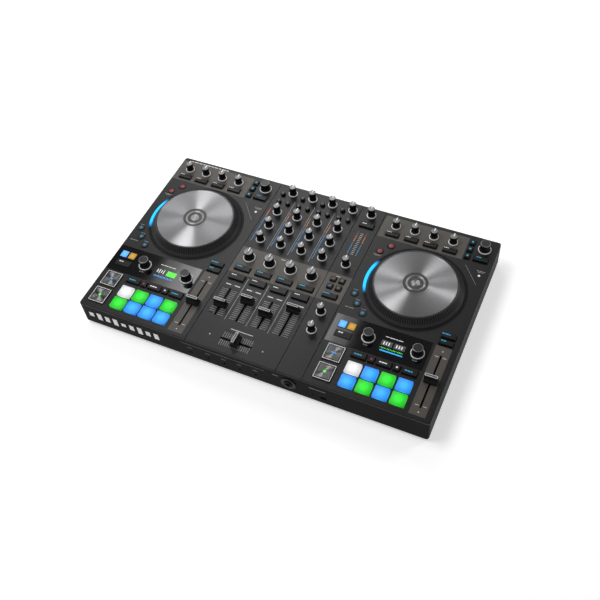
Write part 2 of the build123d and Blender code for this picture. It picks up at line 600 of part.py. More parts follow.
def make_sockets():
    """Front headphone socket, and the rear row: line, main, booth, microphone, USB and power."""
    front, rear = -CASE_D / 2, CASE_D / 2
    pieces = [make_jack(HEADPHONE_X, front, HEADPHONE_Z, 1, True)]
    low = REAR_LOW
    pieces += [make_jack(x, rear, low + JACK_BODY / 2, -1, False) for x in (*BOOTH_XS, MIC_X)]
    side = 2 * (RCA_FLANGE_R + RCA_EDGE)
    for pair_x in RCA_XS:
        body = block(pair_x, rear - WALL - RCA_BLOCK_D / 2, RCA_PITCH + side, RCA_BLOCK_D, low, low + side)
        for x, z in rca_centres(pair_x):
            body += rod_y(RCA_FLANGE_R, rear - WALL - 1, rear, x, z)
            body += rod_y(RCA_R, rear - 1, rear + RCA_OUT, x, z)
        for x, z in rca_centres(pair_x):
            body -= rod_y(RCA_BORE_R, rear + RCA_OUT - 8.0, rear + RCA_OUT + 1, x, z)
        pieces.append(body)
    usb = block(USB_X, rear - USB_D / 2, USB_W, USB_D, low, low + USB_HT)
    usb -= block(USB_X, rear - USB_SLOT_D / 2, USB_SLOT_W, USB_SLOT_D, low + (USB_HT - USB_SLOT_H) / 2,
                 low + (USB_HT + USB_SLOT_H) / 2)
    dc = block(DC_X, rear - DC_D / 2, DC_W, DC_D, low, low + USB_HT)
    z = low + USB_HT / 2
    dc -= rod_y(DC_BORE_R, rear - DC_BORE_D, rear + 1, DC_X, z)
    dc += rod_y(DC_PIN_R, rear - DC_BORE_D, rear - 1.0, DC_X, z)
    return pieces + [usb, dc]


def build():
    """All nodes: node name -> list of solids, in case coordinates."""
    nodes = {
        "upper_housing": make_housing(),
        "bottom_cover": make_base(),
        "top_faceplates": make_faceplates(),
        "windows_and_light_guides": make_windows(),
        "circuit_boards": make_boards(),
        "case_screws": make_screws(),
        "rubber_feet": make_feet(),
        "audio_sockets": make_sockets(),
    }
    bodies = [make_pot(x, y) for x, y, _ in knobs().values()]
    bodies += [make_fader_body(x, y, length, along_x) for x, y, length, _, along_x in faders().values()]
    bodies += [make_drive(x) for x in DECK_XS.values()]
    nodes["control_bodies"] = bodies
    for side, x in DECK_XS.items():
        nodes[f"jog_wheel_{side}"] = make_jog(x)
    for name, (x, y, length, rest, along_x) in faders().items():
        nodes[name] = make_fader(x, y, length, rest, along_x)
    for name, (x, y, shape) in knobs().items():
        nodes[name] = make_knob(x, y, shape)
    for name, bank in keys().items():
        nodes[name] = [make_key(key) for key in bank]
    return nodes


def main():
    os.makedirs("parts", exist_ok=True)
    for name, solids in build().items():
        flat = [s for piece in solids for s in piece.solids()]
        shape = Compound(children=[Pos(0, SHIFT_Y, 0) * s for s in flat])
        export_step(shape, f"parts/{name}.step")
        print(name, len(flat))


if __name__ == "__main__":
    main()
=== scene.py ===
"""Looks of a four-channel DJ controller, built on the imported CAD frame.

Every new piece is in metres, in the row frame, and rides on a CAD body. Sizes in the classes are in
millimetres, as on a maker's drawing, and MM turns them into metres.
"""

import logging
import math
from dataclasses import dataclass, field
from enum import Enum
from functools import lru_cache, partial
from typing import Callable, Dict, List, Optional, Sequence, Tuple

import bpy
from mathutils import Matrix, Vector


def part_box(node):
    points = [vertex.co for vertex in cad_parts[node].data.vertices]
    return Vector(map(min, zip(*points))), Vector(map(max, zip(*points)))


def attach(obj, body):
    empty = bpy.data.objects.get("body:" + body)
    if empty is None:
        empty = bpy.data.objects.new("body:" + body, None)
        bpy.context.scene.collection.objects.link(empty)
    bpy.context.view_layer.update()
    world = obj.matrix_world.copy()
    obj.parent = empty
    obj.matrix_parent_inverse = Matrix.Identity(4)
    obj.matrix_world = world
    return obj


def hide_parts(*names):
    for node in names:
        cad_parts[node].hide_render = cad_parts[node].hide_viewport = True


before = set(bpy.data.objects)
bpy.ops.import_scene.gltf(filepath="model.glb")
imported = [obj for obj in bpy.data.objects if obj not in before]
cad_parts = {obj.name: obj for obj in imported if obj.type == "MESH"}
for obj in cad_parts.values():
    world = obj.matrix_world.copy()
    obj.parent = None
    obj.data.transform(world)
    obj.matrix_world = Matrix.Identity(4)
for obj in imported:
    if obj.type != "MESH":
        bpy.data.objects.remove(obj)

LOG = logging.getLogger("dj_controller")
MM = 0.001
FLAT = 0.9          # least upright part of a flat face's normal
MID_GREY = 0.5      # mean of a noise texture
KEY_TOP = 3.0       # level of the key faces over the panel, in millimetres

Point = Tuple[float, float, float]
Colour = Tuple[float, float, float]
Piece = bpy.types.Object
Tree = bpy.types.NodeTree
Node = bpy.types.Node
Socket = bpy.types.NodeSocket
Material = bpy.types.Material
FaceTest = Callable[[bpy.types.MeshPolygon], bool]


# ------------------------------------------------------------ finishes


class Groups:
    """Shader nodes, and the node groups that more than one finish uses, each built once."""

    @staticmethod
    def fill(tree: Tree, node: Node, inputs: Dict[object, object]) -> Node:
        """Gives inputs of a node their values or links.

        Args:
            tree: the node's tree.
            node: the node.
            inputs: a value or a socket for each input, by name or number.

        Returns:
            The node.
        """
        for name, value in inputs.items():
            if isinstance(value, Socket):
                tree.links.new(value, node.inputs[name])
            else:
                node.inputs[name].default_value = value
        return node

    @classmethod
    def node(cls, tree: Tree, kind: str, inputs: Dict[object, object], **settings: object) -> Node:
        """Adds a shader node.

        Args:
            tree: the tree it goes into.
            kind: its type, without the ShaderNode in front.
            inputs: a value or a socket for each input, by name or number.
            settings: the node's own properties.

        Returns:
            The node.
        """
        made = tree.nodes.new(f"ShaderNode{kind}")
        for name, value in settings.items():
            setattr(made, name, value)
        return cls.fill(tree, made, inputs)

    @classmethod
    def maths(cls, tree: Tree, operation: str, *values: object) -> Socket:
        """Adds a Math node on numbers or sockets and returns its result."""
        return cls.node(tree, "Math", dict(enumerate(values)), operation=operation).outputs[0]

    @classmethod
    def vector(cls, tree: Tree, operation: str, *values: object) -> Node:
        """Adds a Vector Math node on vectors or sockets and returns the node."""
        return cls.node(tree, "VectorMath", dict(enumerate(values)), operation=operation)

    @staticmethod
    def _start(name: str, inputs: Dict[str, Optional[float]], *outputs: str) -> Tuple[Tree, Node, Node]:
        """Makes an empty group with its sockets.

        Args:
            name: the group's name.
            inputs: the default of each number, or None for a vector.
            outputs: the names of the numbers it puts out.

        Returns:
            The group, its input node and its output node.
        """
        tree = bpy.data.node_groups.new(name, "ShaderNodeTree")
        for label, value in inputs.items():
            kind = "NodeSocketVector" if value is None else "NodeSocketFloat"
            socket = tree.interface.new_socket(label, in_out="INPUT", socket_type=kind)
            if value is not None:
                socket.default_value = value
        for label in outputs:
            tree.interface.new_socket(label, in_out="OUTPUT", socket_type="NodeSocketFloat")
        return tree, tree.nodes.new("NodeGroupInput"), tree.nodes.new("NodeGroupOutput")

    @classmethod
    @lru_cache(maxsize=None)
    def grain(cls) -> Tree:
        """Fine moulded grain with a slow drift of tone, for plastics, paint and rubber."""
        tree, start, end = cls._start("moulded_grain", {"Vector": None, "Scale": 2600.0, "Drift": 0.12},
                                      "Height", "Tone", "Rub")
        given = start.outputs
        fine = cls.node(tree, "TexNoise", {"Vector": given["Vector"], "Scale": given["Scale"], "Detail": 3.0})
        slow = cls.node(tree, "TexNoise", {"Vector": given["Vector"], "Scale": 9.0, "Detail": 4.0})
        speck, drift = (cls.maths(tree, "SUBTRACT", noise.outputs[0], MID_GREY) for noise in (fine, slow))
        tone = cls.maths(tree, "MULTIPLY_ADD", drift, given["Drift"], 1.0)
        rub = cls.maths(tree, "MULTIPLY", speck, 0.10)
        cls.fill(tree, end, {"Height": fine.outputs[0], "Tone": tone, "Rub": rub})
        return tree

    @classmethod
    @lru_cache(maxsize=None)
    def zone(cls) -> Tree:
        """Mask of an upright rectangular zone of the panel, 1 inside and 0 outside."""
        tree, start, end = cls._start("panel_zone", {"Vector": None, "Centre X": 0.0, "Centre Y": 0.0,
                                                     "Half X": 0.1, "Half Y": 0.1}, "Mask")
        given = start.outputs
        place = cls.node(tree, "SeparateXYZ", {0: given["Vector"]}).outputs
        inside = []
        for axis in "XY":
            off = cls.maths(tree, "SUBTRACT", place[axis], given[f"Centre {axis}"])
            inside.append(cls.maths(tree, "LESS_THAN", cls.maths(tree, "ABSOLUTE", off), given[f"Half {axis}"]))
        cls.fill(tree, end, {"Mask": cls.maths(tree, "MULTIPLY", *inside)})
        return tree

    @classmethod
    @lru_cache(maxsize=None)
    def turned(cls) -> Tree:
        """Fine concentric turning marks around an upright axis."""
        tree, start, end = cls._start("turning_marks", {"Vector": None, "Centre": None, "Pitch": 900.0,
                                                        "Amount": 0.3}, "Height", "Tone")
        given = start.outputs
        from_axis = cls.vector(tree, "SUBTRACT", given["Vector"], given["Centre"])
        flat = cls.vector(tree, "MULTIPLY", from_axis.outputs[0], (1.0, 1.0, 0.0))
        radius = cls.vector(tree, "LENGTH", flat.outputs[0]).outputs["Value"]
        rings = cls.node(tree, "TexNoise", {"W": radius, "Scale": given["Pitch"], "Detail": 4.0},
                         noise_dimensions="1D").outputs[0]
        centred = cls.maths(tree, "SUBTRACT", rings, MID_GREY)
        tone = cls.maths(tree, "MULTIPLY_ADD", centred, given["Amount"], 1.0)
        cls.fill(tree, end, {"Height": rings, "Tone": tone})
        return tree

    @classmethod
    @lru_cache(maxsize=None)
    def glow(cls) -> Tree:
        """Falloff of a lit cap from its middle to its edge, over the piece's own UV map."""
        tree, start, end = cls._start("lamp_falloff", {"UV": None, "Edge": 0.45}, "Level")
        away = cls.vector(tree, "DISTANCE", start.outputs["UV"], (0.5, 0.5, 0.0)).outputs["Value"]
        ramp = cls.node(tree, "MapRange", {"Value": away, "From Min": 0.08, "From Max": 0.62, "To Min": 1.0,
                                           "To Max": start.outputs["Edge"]}, interpolation_type="SMOOTHSTEP")
        cls.fill(tree, end, {"Level": ramp.outputs["Result"]})
        return tree


@dataclass(frozen=True)
class Finish:
    """One surface finish: a Principled surface with moulded grain.

    Attributes:
        name: the finish in a maker's words.
        colour: linear base colour.
        roughness: surface roughness.
        metallic: 1 for bare metal.
        coat: weight of a clear coat.
        grain: grain frequency per metre, 0 for none.
        depth: height of the grain in metres.
        drift: how much the tone drifts over the piece.
        glow: strength of its own light.
        specular: specular level.
    """

    name: str
    colour: Colour
    roughness: float = 0.45
    metallic: float = 0.0
    coat: float = 0.0
    grain: float = 2600.0
    depth: float = 0.00002
    drift: float = 0.12
    glow: float = 0.0
    specular: float = 0.5

    def start(self) -> Tuple[Material, Node]:
        """Makes the material with its constants set.

        Returns:
            The material and its Principled node.
        """
        material = bpy.data.materials.new(self.name)
        material.use_nodes = True
        shader = material.node_tree.nodes["Principled BSDF"]
        own = {"Base Color": (*self.colour, 1.0), "Roughness": self.roughness, "Metallic": self.metallic,
               "Specular IOR Level": self.specular, "Coat Weight": self.coat, "Coat Roughness": 0.06}
        if self.glow:
            own.update({"Emission Color": (*self.colour, 1.0), "Emission Strength": self.glow})
        Groups.fill(material.node_tree, shader, own)
        return material, shader

    def place(self, tree: Tree, label: str = "Object") -> Socket:
        """Adds a Texture Coordinate node and returns one of its outputs."""
        return tree.nodes.new("ShaderNodeTexCoord").outputs[label]

    def mixed(self, tree: Tree, share: Socket, first: Colour, second: Colour) -> Socket:
        """Mixes two colours by a share and returns the result."""
        return Groups.node(tree, "Mix", {0: share, 6: (*first, 1.0), 7: (*second, 1.0)},
                           data_type="RGBA").outputs[2]

    def tinted(self, tree: Tree, colour: object, tone: Socket) -> Socket:
        """Multiplies a colour, given as a value or a socket, by a tone and returns the result."""
        value = colour if isinstance(colour, Socket) else (*colour, 1.0)
        return Groups.node(tree, "Mix", {0: 1.0, 6: value, 7: tone}, data_type="RGBA",
                           blend_type="MULTIPLY").outputs[2]

    def bump(self, tree: Tree, height: Socket) -> Socket:
        """Adds a Bump node of the finish's depth on a height and returns its normal."""
        return Groups.node(tree, "Bump", {"Distance": self.depth, "Strength": 1.0, "Height": height}).outputs[0]

    def grained(self, tree: Tree, shader: Node, colour: object = None) -> None:
        """Adds the moulded grain to colour, roughness and normal."""
        grain = Groups.node(tree, "Group", {"Scale": self.grain, "Drift": self.drift, "Vector": self.place(tree)},
                            node_tree=Groups.grain()).outputs
        tint = self.tinted(tree, self.colour if colour is None else colour, grain["Tone"])
        rough = Groups.maths(tree, "ADD", grain["Rub"], self.roughness)
        Groups.fill(tree, shader, {"Base Color": tint, "Roughness": rough,
                                   "Normal": self.bump(tree, grain["Height"])})

    def build(self) -> Material:
        """Makes the material."""
        material, shader = self.start()
        if self.grain:
            self.grained(material.node_tree, shader)
        return material


@dataclass(frozen=True)
class PanelFinish(Finish):
    """Faceplate finish: satin charcoal with warmer zones, given as (centre x, centre y, half x, half y)."""

    warm: Colour = (0.05, 0.046, 0.04)
    zones: Tuple[Tuple[float, float, float, float], ...] = ()

    def build(self) -> Material:
        """Makes the material with its warm zones."""
        material, shader = self.start()
        tree = material.node_tree
        place = self.place(tree)
        warmth: object = 0.0
        for zone in self.zones:
            inputs = {"Vector": place, **dict(zip(("Centre X", "Centre Y", "Half X", "Half Y"), zone))}
            mask = Groups.node(tree, "Group", inputs, node_tree=Groups.zone()).outputs["Mask"]
            warmth = Groups.maths(tree, "MAXIMUM", warmth, mask)
        self.grained(tree, shader, self.mixed(tree, warmth, self.colour, self.warm))
        return material


@dataclass(frozen=True)
class SpunFinish(Finish):
    """Spun metal: turning marks around an axis, with a sheen that follows them."""

    centre: Point = (0.0, 0.0, 0.0)
    pitch: float = 900.0
    stretch: float = 0.85
    marks: float = 0.3

    def build(self) -> Material:
        """Makes the material with its turning marks."""
        material, shader = self.start()
        tree = material.node_tree
        tangent = Groups.node(tree, "Tangent", {}, direction_type="RADIAL", axis="Z").outputs[0]
        marks = Groups.node(tree, "Group", {"Centre": self.centre, "Pitch": self.pitch, "Amount": self.marks,
                                            "Vector": self.place(tree)}, node_tree=Groups.turned()).outputs
        Groups.fill(tree, shader, {"Anisotropic": self.stretch, "Anisotropic Rotation": 0.25, "Tangent": tangent,
                                   "Base Color": self.tinted(tree, self.colour, marks["Tone"])})
        if self.depth:
            Groups.fill(tree, shader, {"Normal": self.bump(tree, marks["Height"])})
        return material


@dataclass(frozen=True)
class LampFinish(Finish):
    """Translucent cap lit from below, brighter in the middle than at the edge."""

    core: Colour = (1.0, 1.0, 1.0)
    edge: float = 0.45
    falloff: float = 2.5

    def build(self) -> Material:
        """Makes the material with its falloff."""
        material, shader = self.start()
        tree = material.node_tree
        level = Groups.node(tree, "Group", {"Edge": self.edge, "UV": self.place(tree, "UV")},
                            node_tree=Groups.glow()).outputs["Level"]
        colour = self.mixed(tree, Groups.maths(tree, "POWER", level, self.falloff), self.colour, self.core)
        Groups.fill(tree, shader, {"Emission Color": self.tinted(tree, colour, level)})
        return material


@dataclass(frozen=True)
class ArcFinish(Finish):
    """Light ring of a jog wheel: black gloss, lit over part of its turn."""

    centre: Point = (0.0, 0.0, 0.0)
    lit: Colour = (0.01, 0.42, 1.0)
    middle: float = 181.0
    half: float = 27.0
    power: float = 1.9

    def build(self) -> Material:
        """Makes the material with its lit arc."""
        material, shader = self.start()
        tree = material.node_tree
        shift = Groups.vector(tree, "SUBTRACT", self.place(tree), self.centre)
        place = Groups.node(tree, "SeparateXYZ", {0: shift.outputs[0]}).outputs
        off = Groups.maths(tree, "DEGREES", Groups.maths(tree, "ARCTAN2", place["Y"], place["X"]))
        for operation, *values in (("SUBTRACT", self.middle), ("WRAP", 180.0, -180.0), ("ABSOLUTE",)):
            off = Groups.maths(tree, operation, off, *values)
        fade = Groups.node(tree, "MapRange", {"Value": off, "From Min": self.half * 0.55, "From Max": self.half,
                                              "To Min": 1.0, "To Max": 0.0}, interpolation_type="SMOOTHSTEP")
        lit = self.tinted(tree, self.lit, fade.outputs["Result"])
        Groups.fill(tree, shader, {"Emission Color": lit, "Emission Strength": self.power})
        return material


Ink = partial(Finish, roughness=0.6, grain=1200.0, depth=0.0)
Lit = partial(Finish, roughness=0.35, grain=1200.0)


class Look(Enum):
    """The finishes of the controller that need no place of their own."""

    CASE = Finish("case_moulding", (0.007, 0.0072, 0.008), 0.45, grain=2400.0, depth=0.000006, specular=0.03)
    COVER = Finish("powder_coat", (0.02, 0.02, 0.022), 0.62, grain=1400.0, depth=0.00006)
    RUBBER = Finish("foot_compound", (0.018, 0.018, 0.019), 0.75, grain=900.0, depth=0.00005)
    SCREW = Finish("zinc_screw", (0.42, 0.42, 0.43), 0.35, 1.0, grain=700.0, depth=0.00001)
    BOARD = Finish("solder_mask", (0.012, 0.05, 0.03), 0.4, grain=500.0)
    SOCKET = Finish("socket_black", (0.010, 0.010, 0.011), 0.36, grain=1500.0, specular=0.15)
    NICKEL = Finish("nickel_shell", (0.62, 0.60, 0.56), 0.22, 1.0, grain=800.0, depth=0.000008)
    WHITE_RING = Finish("white_insert", (0.7, 0.7, 0.68), 0.4, grain=900.0)
    RED_RING = Finish("red_insert", (0.5, 0.02, 0.02), 0.4, grain=900.0)
    KEY = Finish("key_black", (0.007, 0.007, 0.008), 0.36, grain=3000.0, depth=0.00001, specular=0.35)
    # Partly painted highlight: the key tops' gloss is real, their lighter grey than the black key body is painted
    # highlight.
    DOME_TOP_HIGHLIGHT = Finish("dome_top_painted_highlight", (0.06, 0.06, 0.062), 0.20, grain=900.0, depth=0.000005)
    GLASS = Finish("band_gloss", (0.004, 0.004, 0.005), 0.07, coat=0.6, grain=60.0, depth=0.000003)
    METER_OFF = Finish("meter_window", (0.01, 0.011, 0.014), 0.25, grain=900.0)
    BARREL = Finish("knob_rubber", (0.006, 0.006, 0.0065), 0.45, grain=2600.0, depth=0.00002, specular=0.35)
    # Painted highlight: light grey cap colour on the knob tops, dial rims and filter fins, for the bright
    # reflection the knob tops show; its metal sheen is real.
    KNOB_TOP_HIGHLIGHT = Finish("knob_cap", (0.25, 0.25, 0.256), 0.32, 0.5, grain=1900.0, depth=0.00001)
    DIAL_TOP = Finish("dial_cap", (0.03, 0.03, 0.032), 0.28, 0.2, grain=1900.0, depth=0.00001)
    # Painted highlight: the pointer is white print that also glows, though it is no lamp.
    POINTER = Finish("pointer_white_painted_glow", (0.85, 0.85, 0.85), 0.4, grain=900.0, glow=0.35)
    # Painted light: the white foot ring of the knobs glows a little, though it is no lamp.
    FOOT_RING_PAINTED_GLOW = Finish("foot_ring_painted_glow", (0.80, 0.80, 0.81), 0.30, 0.1, grain=900.0, depth=0.000004, glow=0.10)
    FADER = Finish("fader_plastic", (0.008, 0.008, 0.0085), 0.36, grain=2600.0)
    # Painted highlight: the fader's ridge top is a lighter grey than the black cap body.
    FADER_RIDGE_HIGHLIGHT = Finish("fader_ridge_painted_highlight", (0.09, 0.09, 0.092), 0.36, grain=2600.0)
    LEVER = Finish("fader_lever", (0.3, 0.3, 0.31), 0.35, 1.0, grain=900.0)
    ANODISED = Finish("dark_anodised", (0.085, 0.083, 0.080), 0.34, 0.8, grain=900.0, depth=0.000006)
    RIM = Finish("rim_plastic", (0.055, 0.055, 0.057), 0.32, grain=2600.0)
    INK = Ink("print_white", (0.85, 0.85, 0.85))
    INK_DIM = Ink("print_grey", (0.20, 0.20, 0.20))
    INK_FINE = Ink("print_fine", (0.26, 0.26, 0.26))
    INK_LINE = Ink("print_line", (0.42, 0.42, 0.41))
    CYAN = Lit("label_cyan", (0.02, 0.32, 0.50), roughness=0.4, glow=0.55)
    WHITE_LIT = Lit("label_white", (0.7, 0.7, 0.7), roughness=0.4, glow=0.5)
    RED_LIT = Lit("lamp_red", (0.35, 0.02, 0.03), glow=0.5)
    RED_DIM = Lit("lens_red", (0.20, 0.022, 0.028), glow=0.55)
    SLATE = Lit("lens_slate", (0.014, 0.04, 0.06), glow=0.35)
    GREEN_LIT = Lit("lamp_green", (0.08, 0.62, 0.05), glow=0.9)
    BLUE_LIT = Lit("lamp_blue", (0.02, 0.30, 0.75), glow=0.9)
    ORANGE_LIT = Lit("lamp_orange", (0.5, 0.16, 0.01), glow=0.55)
    METER_BLUE = Lit("meter_blue", (0.02, 0.16, 0.34), glow=0.6)
    LENS_BROWN = Lit("lens_brown", (0.09, 0.035, 0.018), glow=0.4)
    LENS_GREEN = Lit("lens_green", (0.03, 0.09, 0.03), glow=0.4)
    LENS_BLUE = Lit("lens_blue", (0.025, 0.06, 0.12), glow=0.4)
    LENS_OLIVE = Lit("lens_olive", (0.09, 0.075, 0.025), glow=0.4)
    SCREEN_GREY = Lit("screen_grey", (0.06, 0.06, 0.065), roughness=0.3, glow=0.5)
    SCREEN_DARK = Finish("screen_dark", (0.006, 0.006, 0.0075), 0.08, coat=0.6, grain=60.0, depth=0.000003)
    PAD_BLUE = LampFinish("pad_blue", (0.01, 0.19, 0.80), 0.4, core=(0.05, 0.46, 1.0), edge=0.60, glow=0.88)
    PAD_GREEN = LampFinish("pad_green", (0.008, 0.42, 0.012), 0.4, core=(0.03, 0.82, 0.04), edge=0.60, glow=0.85)
    PAD_WHITE = LampFinish("pad_white", (0.42, 0.42, 0.44), 0.4, core=(0.88, 0.88, 0.90), edge=0.70, glow=0.9)
    KEY_BLUE = LampFinish("key_blue", (0.03, 0.22, 0.85), 0.4, core=(0.16, 0.50, 1.0), edge=0.8, glow=0.95)
    KEY_ORANGE = LampFinish("key_orange", (0.34, 0.17, 0.01), 0.4, core=(0.55, 0.34, 0.05), edge=0.7, glow=0.8)

    @lru_cache(maxsize=None)
    def material(self) -> Material:
        """Returns the finish's material, made on first use."""
        return self.value.build()


# ------------------------------------------------------------ workbench


class Bench:
    """Modelling moves shared by every sub-assembly. Places are in metres, lengths in millimetres."""

    @staticmethod
    def clear() -> None:
        """Deselects everything, in object mode."""
        if bpy.context.object is not None and bpy.context.object.mode != "OBJECT":
            bpy.ops.object.mode_set(mode="OBJECT")
        bpy.ops.object.select_all(action="DESELECT")

    @classmethod
    def take(cls, obj: Piece) -> None:
        """Makes one object the only selected and active one."""
        cls.clear()
        obj.select_set(True)
        bpy.context.view_layer.objects.active = obj

    @classmethod
    def settle(cls, name: str) -> Piece:
        """Names the new object and puts its place, turn and size into its mesh."""
        obj = bpy.context.object
        cls.take(obj)
        obj.name = obj.data.name = name
        bpy.ops.object.transform_apply(location=True, rotation=True, scale=True)
        return obj

    @classmethod
    def place(cls, obj: Piece, name: str, place: Sequence[float],
              turn: Sequence[float] = (0.0, 0.0, 0.0)) -> Piece:
        """Moves a piece, turns it by angles in degrees and settles it under a name."""
        obj.location, obj.rotation_euler = place, [math.radians(angle) for angle in turn]
        cls.take(obj)
        return cls.settle(name)

    @classmethod
    def pick(cls, obj: Piece, test: FaceTest) -> None:
        """Enters edit mode with only the faces that pass a test selected."""
        cls.take(obj)
        bpy.ops.object.mode_set(mode="EDIT")
        bpy.ops.mesh.select_mode(type="FACE")
        bpy.ops.mesh.select_all(action="DESELECT")
        bpy.ops.object.mode_set(mode="OBJECT")
        for face in obj.data.polygons:
            face.select = test(face)
        bpy.ops.object.mode_set(mode="EDIT")

    @classmethod
    def crown(cls, obj: Piece) -> None:
        """Enters edit mode with only the many-sided face on top of a drum selected."""
        high = max(v.co.z for v in obj.data.vertices)
        cls.pick(obj, lambda face: face.normal.z > FLAT and len(face.vertices) > 6
                 and face.center.z > high - 0.01 * MM)

    @staticmethod
    def done() -> None:
        """Leaves edit mode."""
        bpy.ops.object.mode_set(mode="OBJECT")

    @classmethod
    def bevel(cls, width: float, segments: int = 2) -> None:
        """Rounds the edges of the selection and leaves edit mode."""
        bpy.ops.mesh.bevel(offset=width * MM, segments=segments, affect="EDGES")
        cls.done()

    @classmethod
    def terrace(cls, *steps: Tuple[float, float]) -> None:
        """Insets the selection and extrudes it along Z, step by step, and leaves edit mode."""
        for width, rise in steps:
            bpy.ops.mesh.inset(thickness=width * MM)
            cls.lift(rise)
        cls.done()

    @classmethod
    def soften(cls, obj: Piece, width: float, segments: int = 1, angle: float = 30.0) -> None:
        """Rounds every edge that turns by more than an angle, with a modifier that is applied."""
        cls.take(obj)
        edge = obj.modifiers.new("edge", "BEVEL")
        edge.width, edge.segments, edge.limit_method = width * MM, segments, "ANGLE"
        edge.angle_limit = math.radians(angle)
        bpy.ops.object.modifier_apply(modifier="edge")

    @classmethod
    def unwrap(cls, obj: Piece, size: float) -> None:
        """Gives a cap a UV map that runs from 0 to 1 over a size."""
        cls.pick(obj, lambda face: True)
        bpy.ops.uv.cube_project(cube_size=size * MM, scale_to_bounds=False)
        cls.done()

    @staticmethod
    def lift(distance: float) -> None:
        """Extrudes the selected region by a distance along Z."""
        bpy.ops.mesh.extrude_region_move(TRANSFORM_OT_translate={"value": (0.0, 0.0, distance * MM)})

    @classmethod
    def slab(cls, name: str, centre: Sequence[float], size: Sequence[float], edge: float = 0.0,
             upright: float = 0.0, segments: int = 2) -> Piece:
        """Makes a block with softened edges.

        Args:
            name: the piece's name.
            centre: its centre.
            size: its width, depth and height.
            edge: radius of all edges, 0 for sharp.
            upright: radius of the upright edges, made first.
            segments: segments of each rounding.

        Returns:
            The new object.
        """
        cls.clear()
        bpy.ops.mesh.primitive_cube_add(size=1.0, location=centre)
        bpy.context.object.scale = [length * MM for length in size]
        obj = cls.settle(name)
        if upright:
            cls.take(obj)
            bpy.ops.object.mode_set(mode="EDIT")
            bpy.ops.mesh.select_mode(type="EDGE")
            bpy.ops.mesh.select_all(action="DESELECT")
            cls.done()
            for line in obj.data.edges:
                a, b = (obj.data.vertices[i].co for i in line.vertices)
                line.select = abs(a.z - b.z) > size[2] * MM / 2
            bpy.ops.object.mode_set(mode="EDIT")
            cls.bevel(upright, segments + 1)
        if edge:
            cls.soften(obj, edge, segments, 50.0)
        return obj

    @classmethod
    def drum(cls, name: str, foot: Sequence[float], radius: float, height: float, sides: int = 48,
             top: Optional[float] = None) -> Piece:
        """Makes an upright cylinder or, with a top radius, a cone frustum, on its foot.

        Args:
            name: the piece's name.
            foot: the centre of its foot.
            radius: its radius at the foot.
            height: its height.
            sides: how many sides it has.
            top: its radius at the top.

        Returns:
            The new object.
        """
        cls.clear()
        bpy.ops.mesh.primitive_cone_add(vertices=sides, radius1=radius * MM,
                                        radius2=(radius if top is None else top) * MM, depth=height * MM,
                                        location=(foot[0], foot[1], foot[2] + height * MM / 2))
        return cls.settle(name)

    @classmethod
    def tube(cls, name: str, foot: Sequence[float], outer: float, inner: float, height: float,
             sides: int = 48) -> Piece:
        """Makes an upright ring on its foot, by insetting a drum and bridging its ends."""
        obj = cls.drum(name, foot, outer, height, sides)
        cls.pick(obj, lambda face: abs(face.normal.z) > FLAT)
        bpy.ops.mesh.inset(thickness=(outer - inner) * MM)
        cls.done()
        cls.pick(obj, lambda face: abs(face.normal.z) > FLAT and len(face.vertices) > 4)
        bpy.ops.mesh.bridge_edge_loops()
        cls.done()
        return obj

    @classmethod
    def copy(cls, obj: Piece, name: str, offset: Sequence[float]) -> Piece:
        """Copies a piece with its own mesh and moves the copy."""
        cls.take(obj)
        bpy.ops.object.duplicate(linked=False)
        return cls.place(bpy.context.object, name, offset)

    @classmethod
    def join(cls, parts: Sequence[Piece], name: str) -> Piece:
        """Joins parts into one piece."""
        cls.clear()
        for part in parts:
            part.select_set(True)
        bpy.context.view_layer.objects.active = parts[0]
        if len(parts) > 1:
            bpy.ops.object.join()
        made = bpy.context.object
        made.name = made.data.name = name
        return made

    @classmethod
    def paint(cls, obj: Piece, look: Look,
              test: Optional[FaceTest] = None) -> None:
        """Gives all faces, or those that pass a test, a finish."""
        material = look.material()
        if material.name not in [m.name for m in obj.data.materials if m]:
            obj.data.materials.append(material)
        index = [m.name if m else "" for m in obj.data.materials].index(material.name)
        for face in obj.data.polygons:
            if test is None or test(face):
                face.material_index = index

    @classmethod
    def smooth(cls, obj: Piece, angle: float = 35.0) -> None:
        """Shades smooth where neighbouring faces turn by less than an angle."""
        cls.take(obj)
        bpy.ops.object.shade_smooth_by_angle(angle=math.radians(angle))

    @staticmethod
    def mount(obj: Piece, body: str, slot: str, *nodes: str) -> Piece:
        """Sends a finished piece to its body, and hides the nodes that it stands for."""
        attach(obj, body)
        if nodes:
            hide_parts(*nodes)
        LOG.info("piece %s: %d faces on %s", obj.name, len(obj.data.polygons), body)
        return obj


@dataclass
class Panel:
    """Where the panel is: its centre and its level, in metres."""

    x: float = 0.0
    y: float = 0.0
    z: float = 0.0

    @classmethod
    def read(cls) -> "Panel":
        """Reads the panel's place from the faceplates."""
        low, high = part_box("top_faceplates")
        return cls((low.x + high.x) / 2, (low.y + high.y) / 2, high.z)

    def at(self, x: float, y: float, z: float = 0.0) -> Point:
        """Turns millimetres from the panel's centre into a place in the row frame."""
        return (self.x + x * MM, self.y + y * MM, self.z + z * MM)

    def over(self, node: str) -> Point:
        """Returns the place on the panel's level that is over or under a CAD node's centre."""
        low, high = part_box(node)
        return ((low.x + high.x) / 2, (low.y + high.y) / 2, self.z)


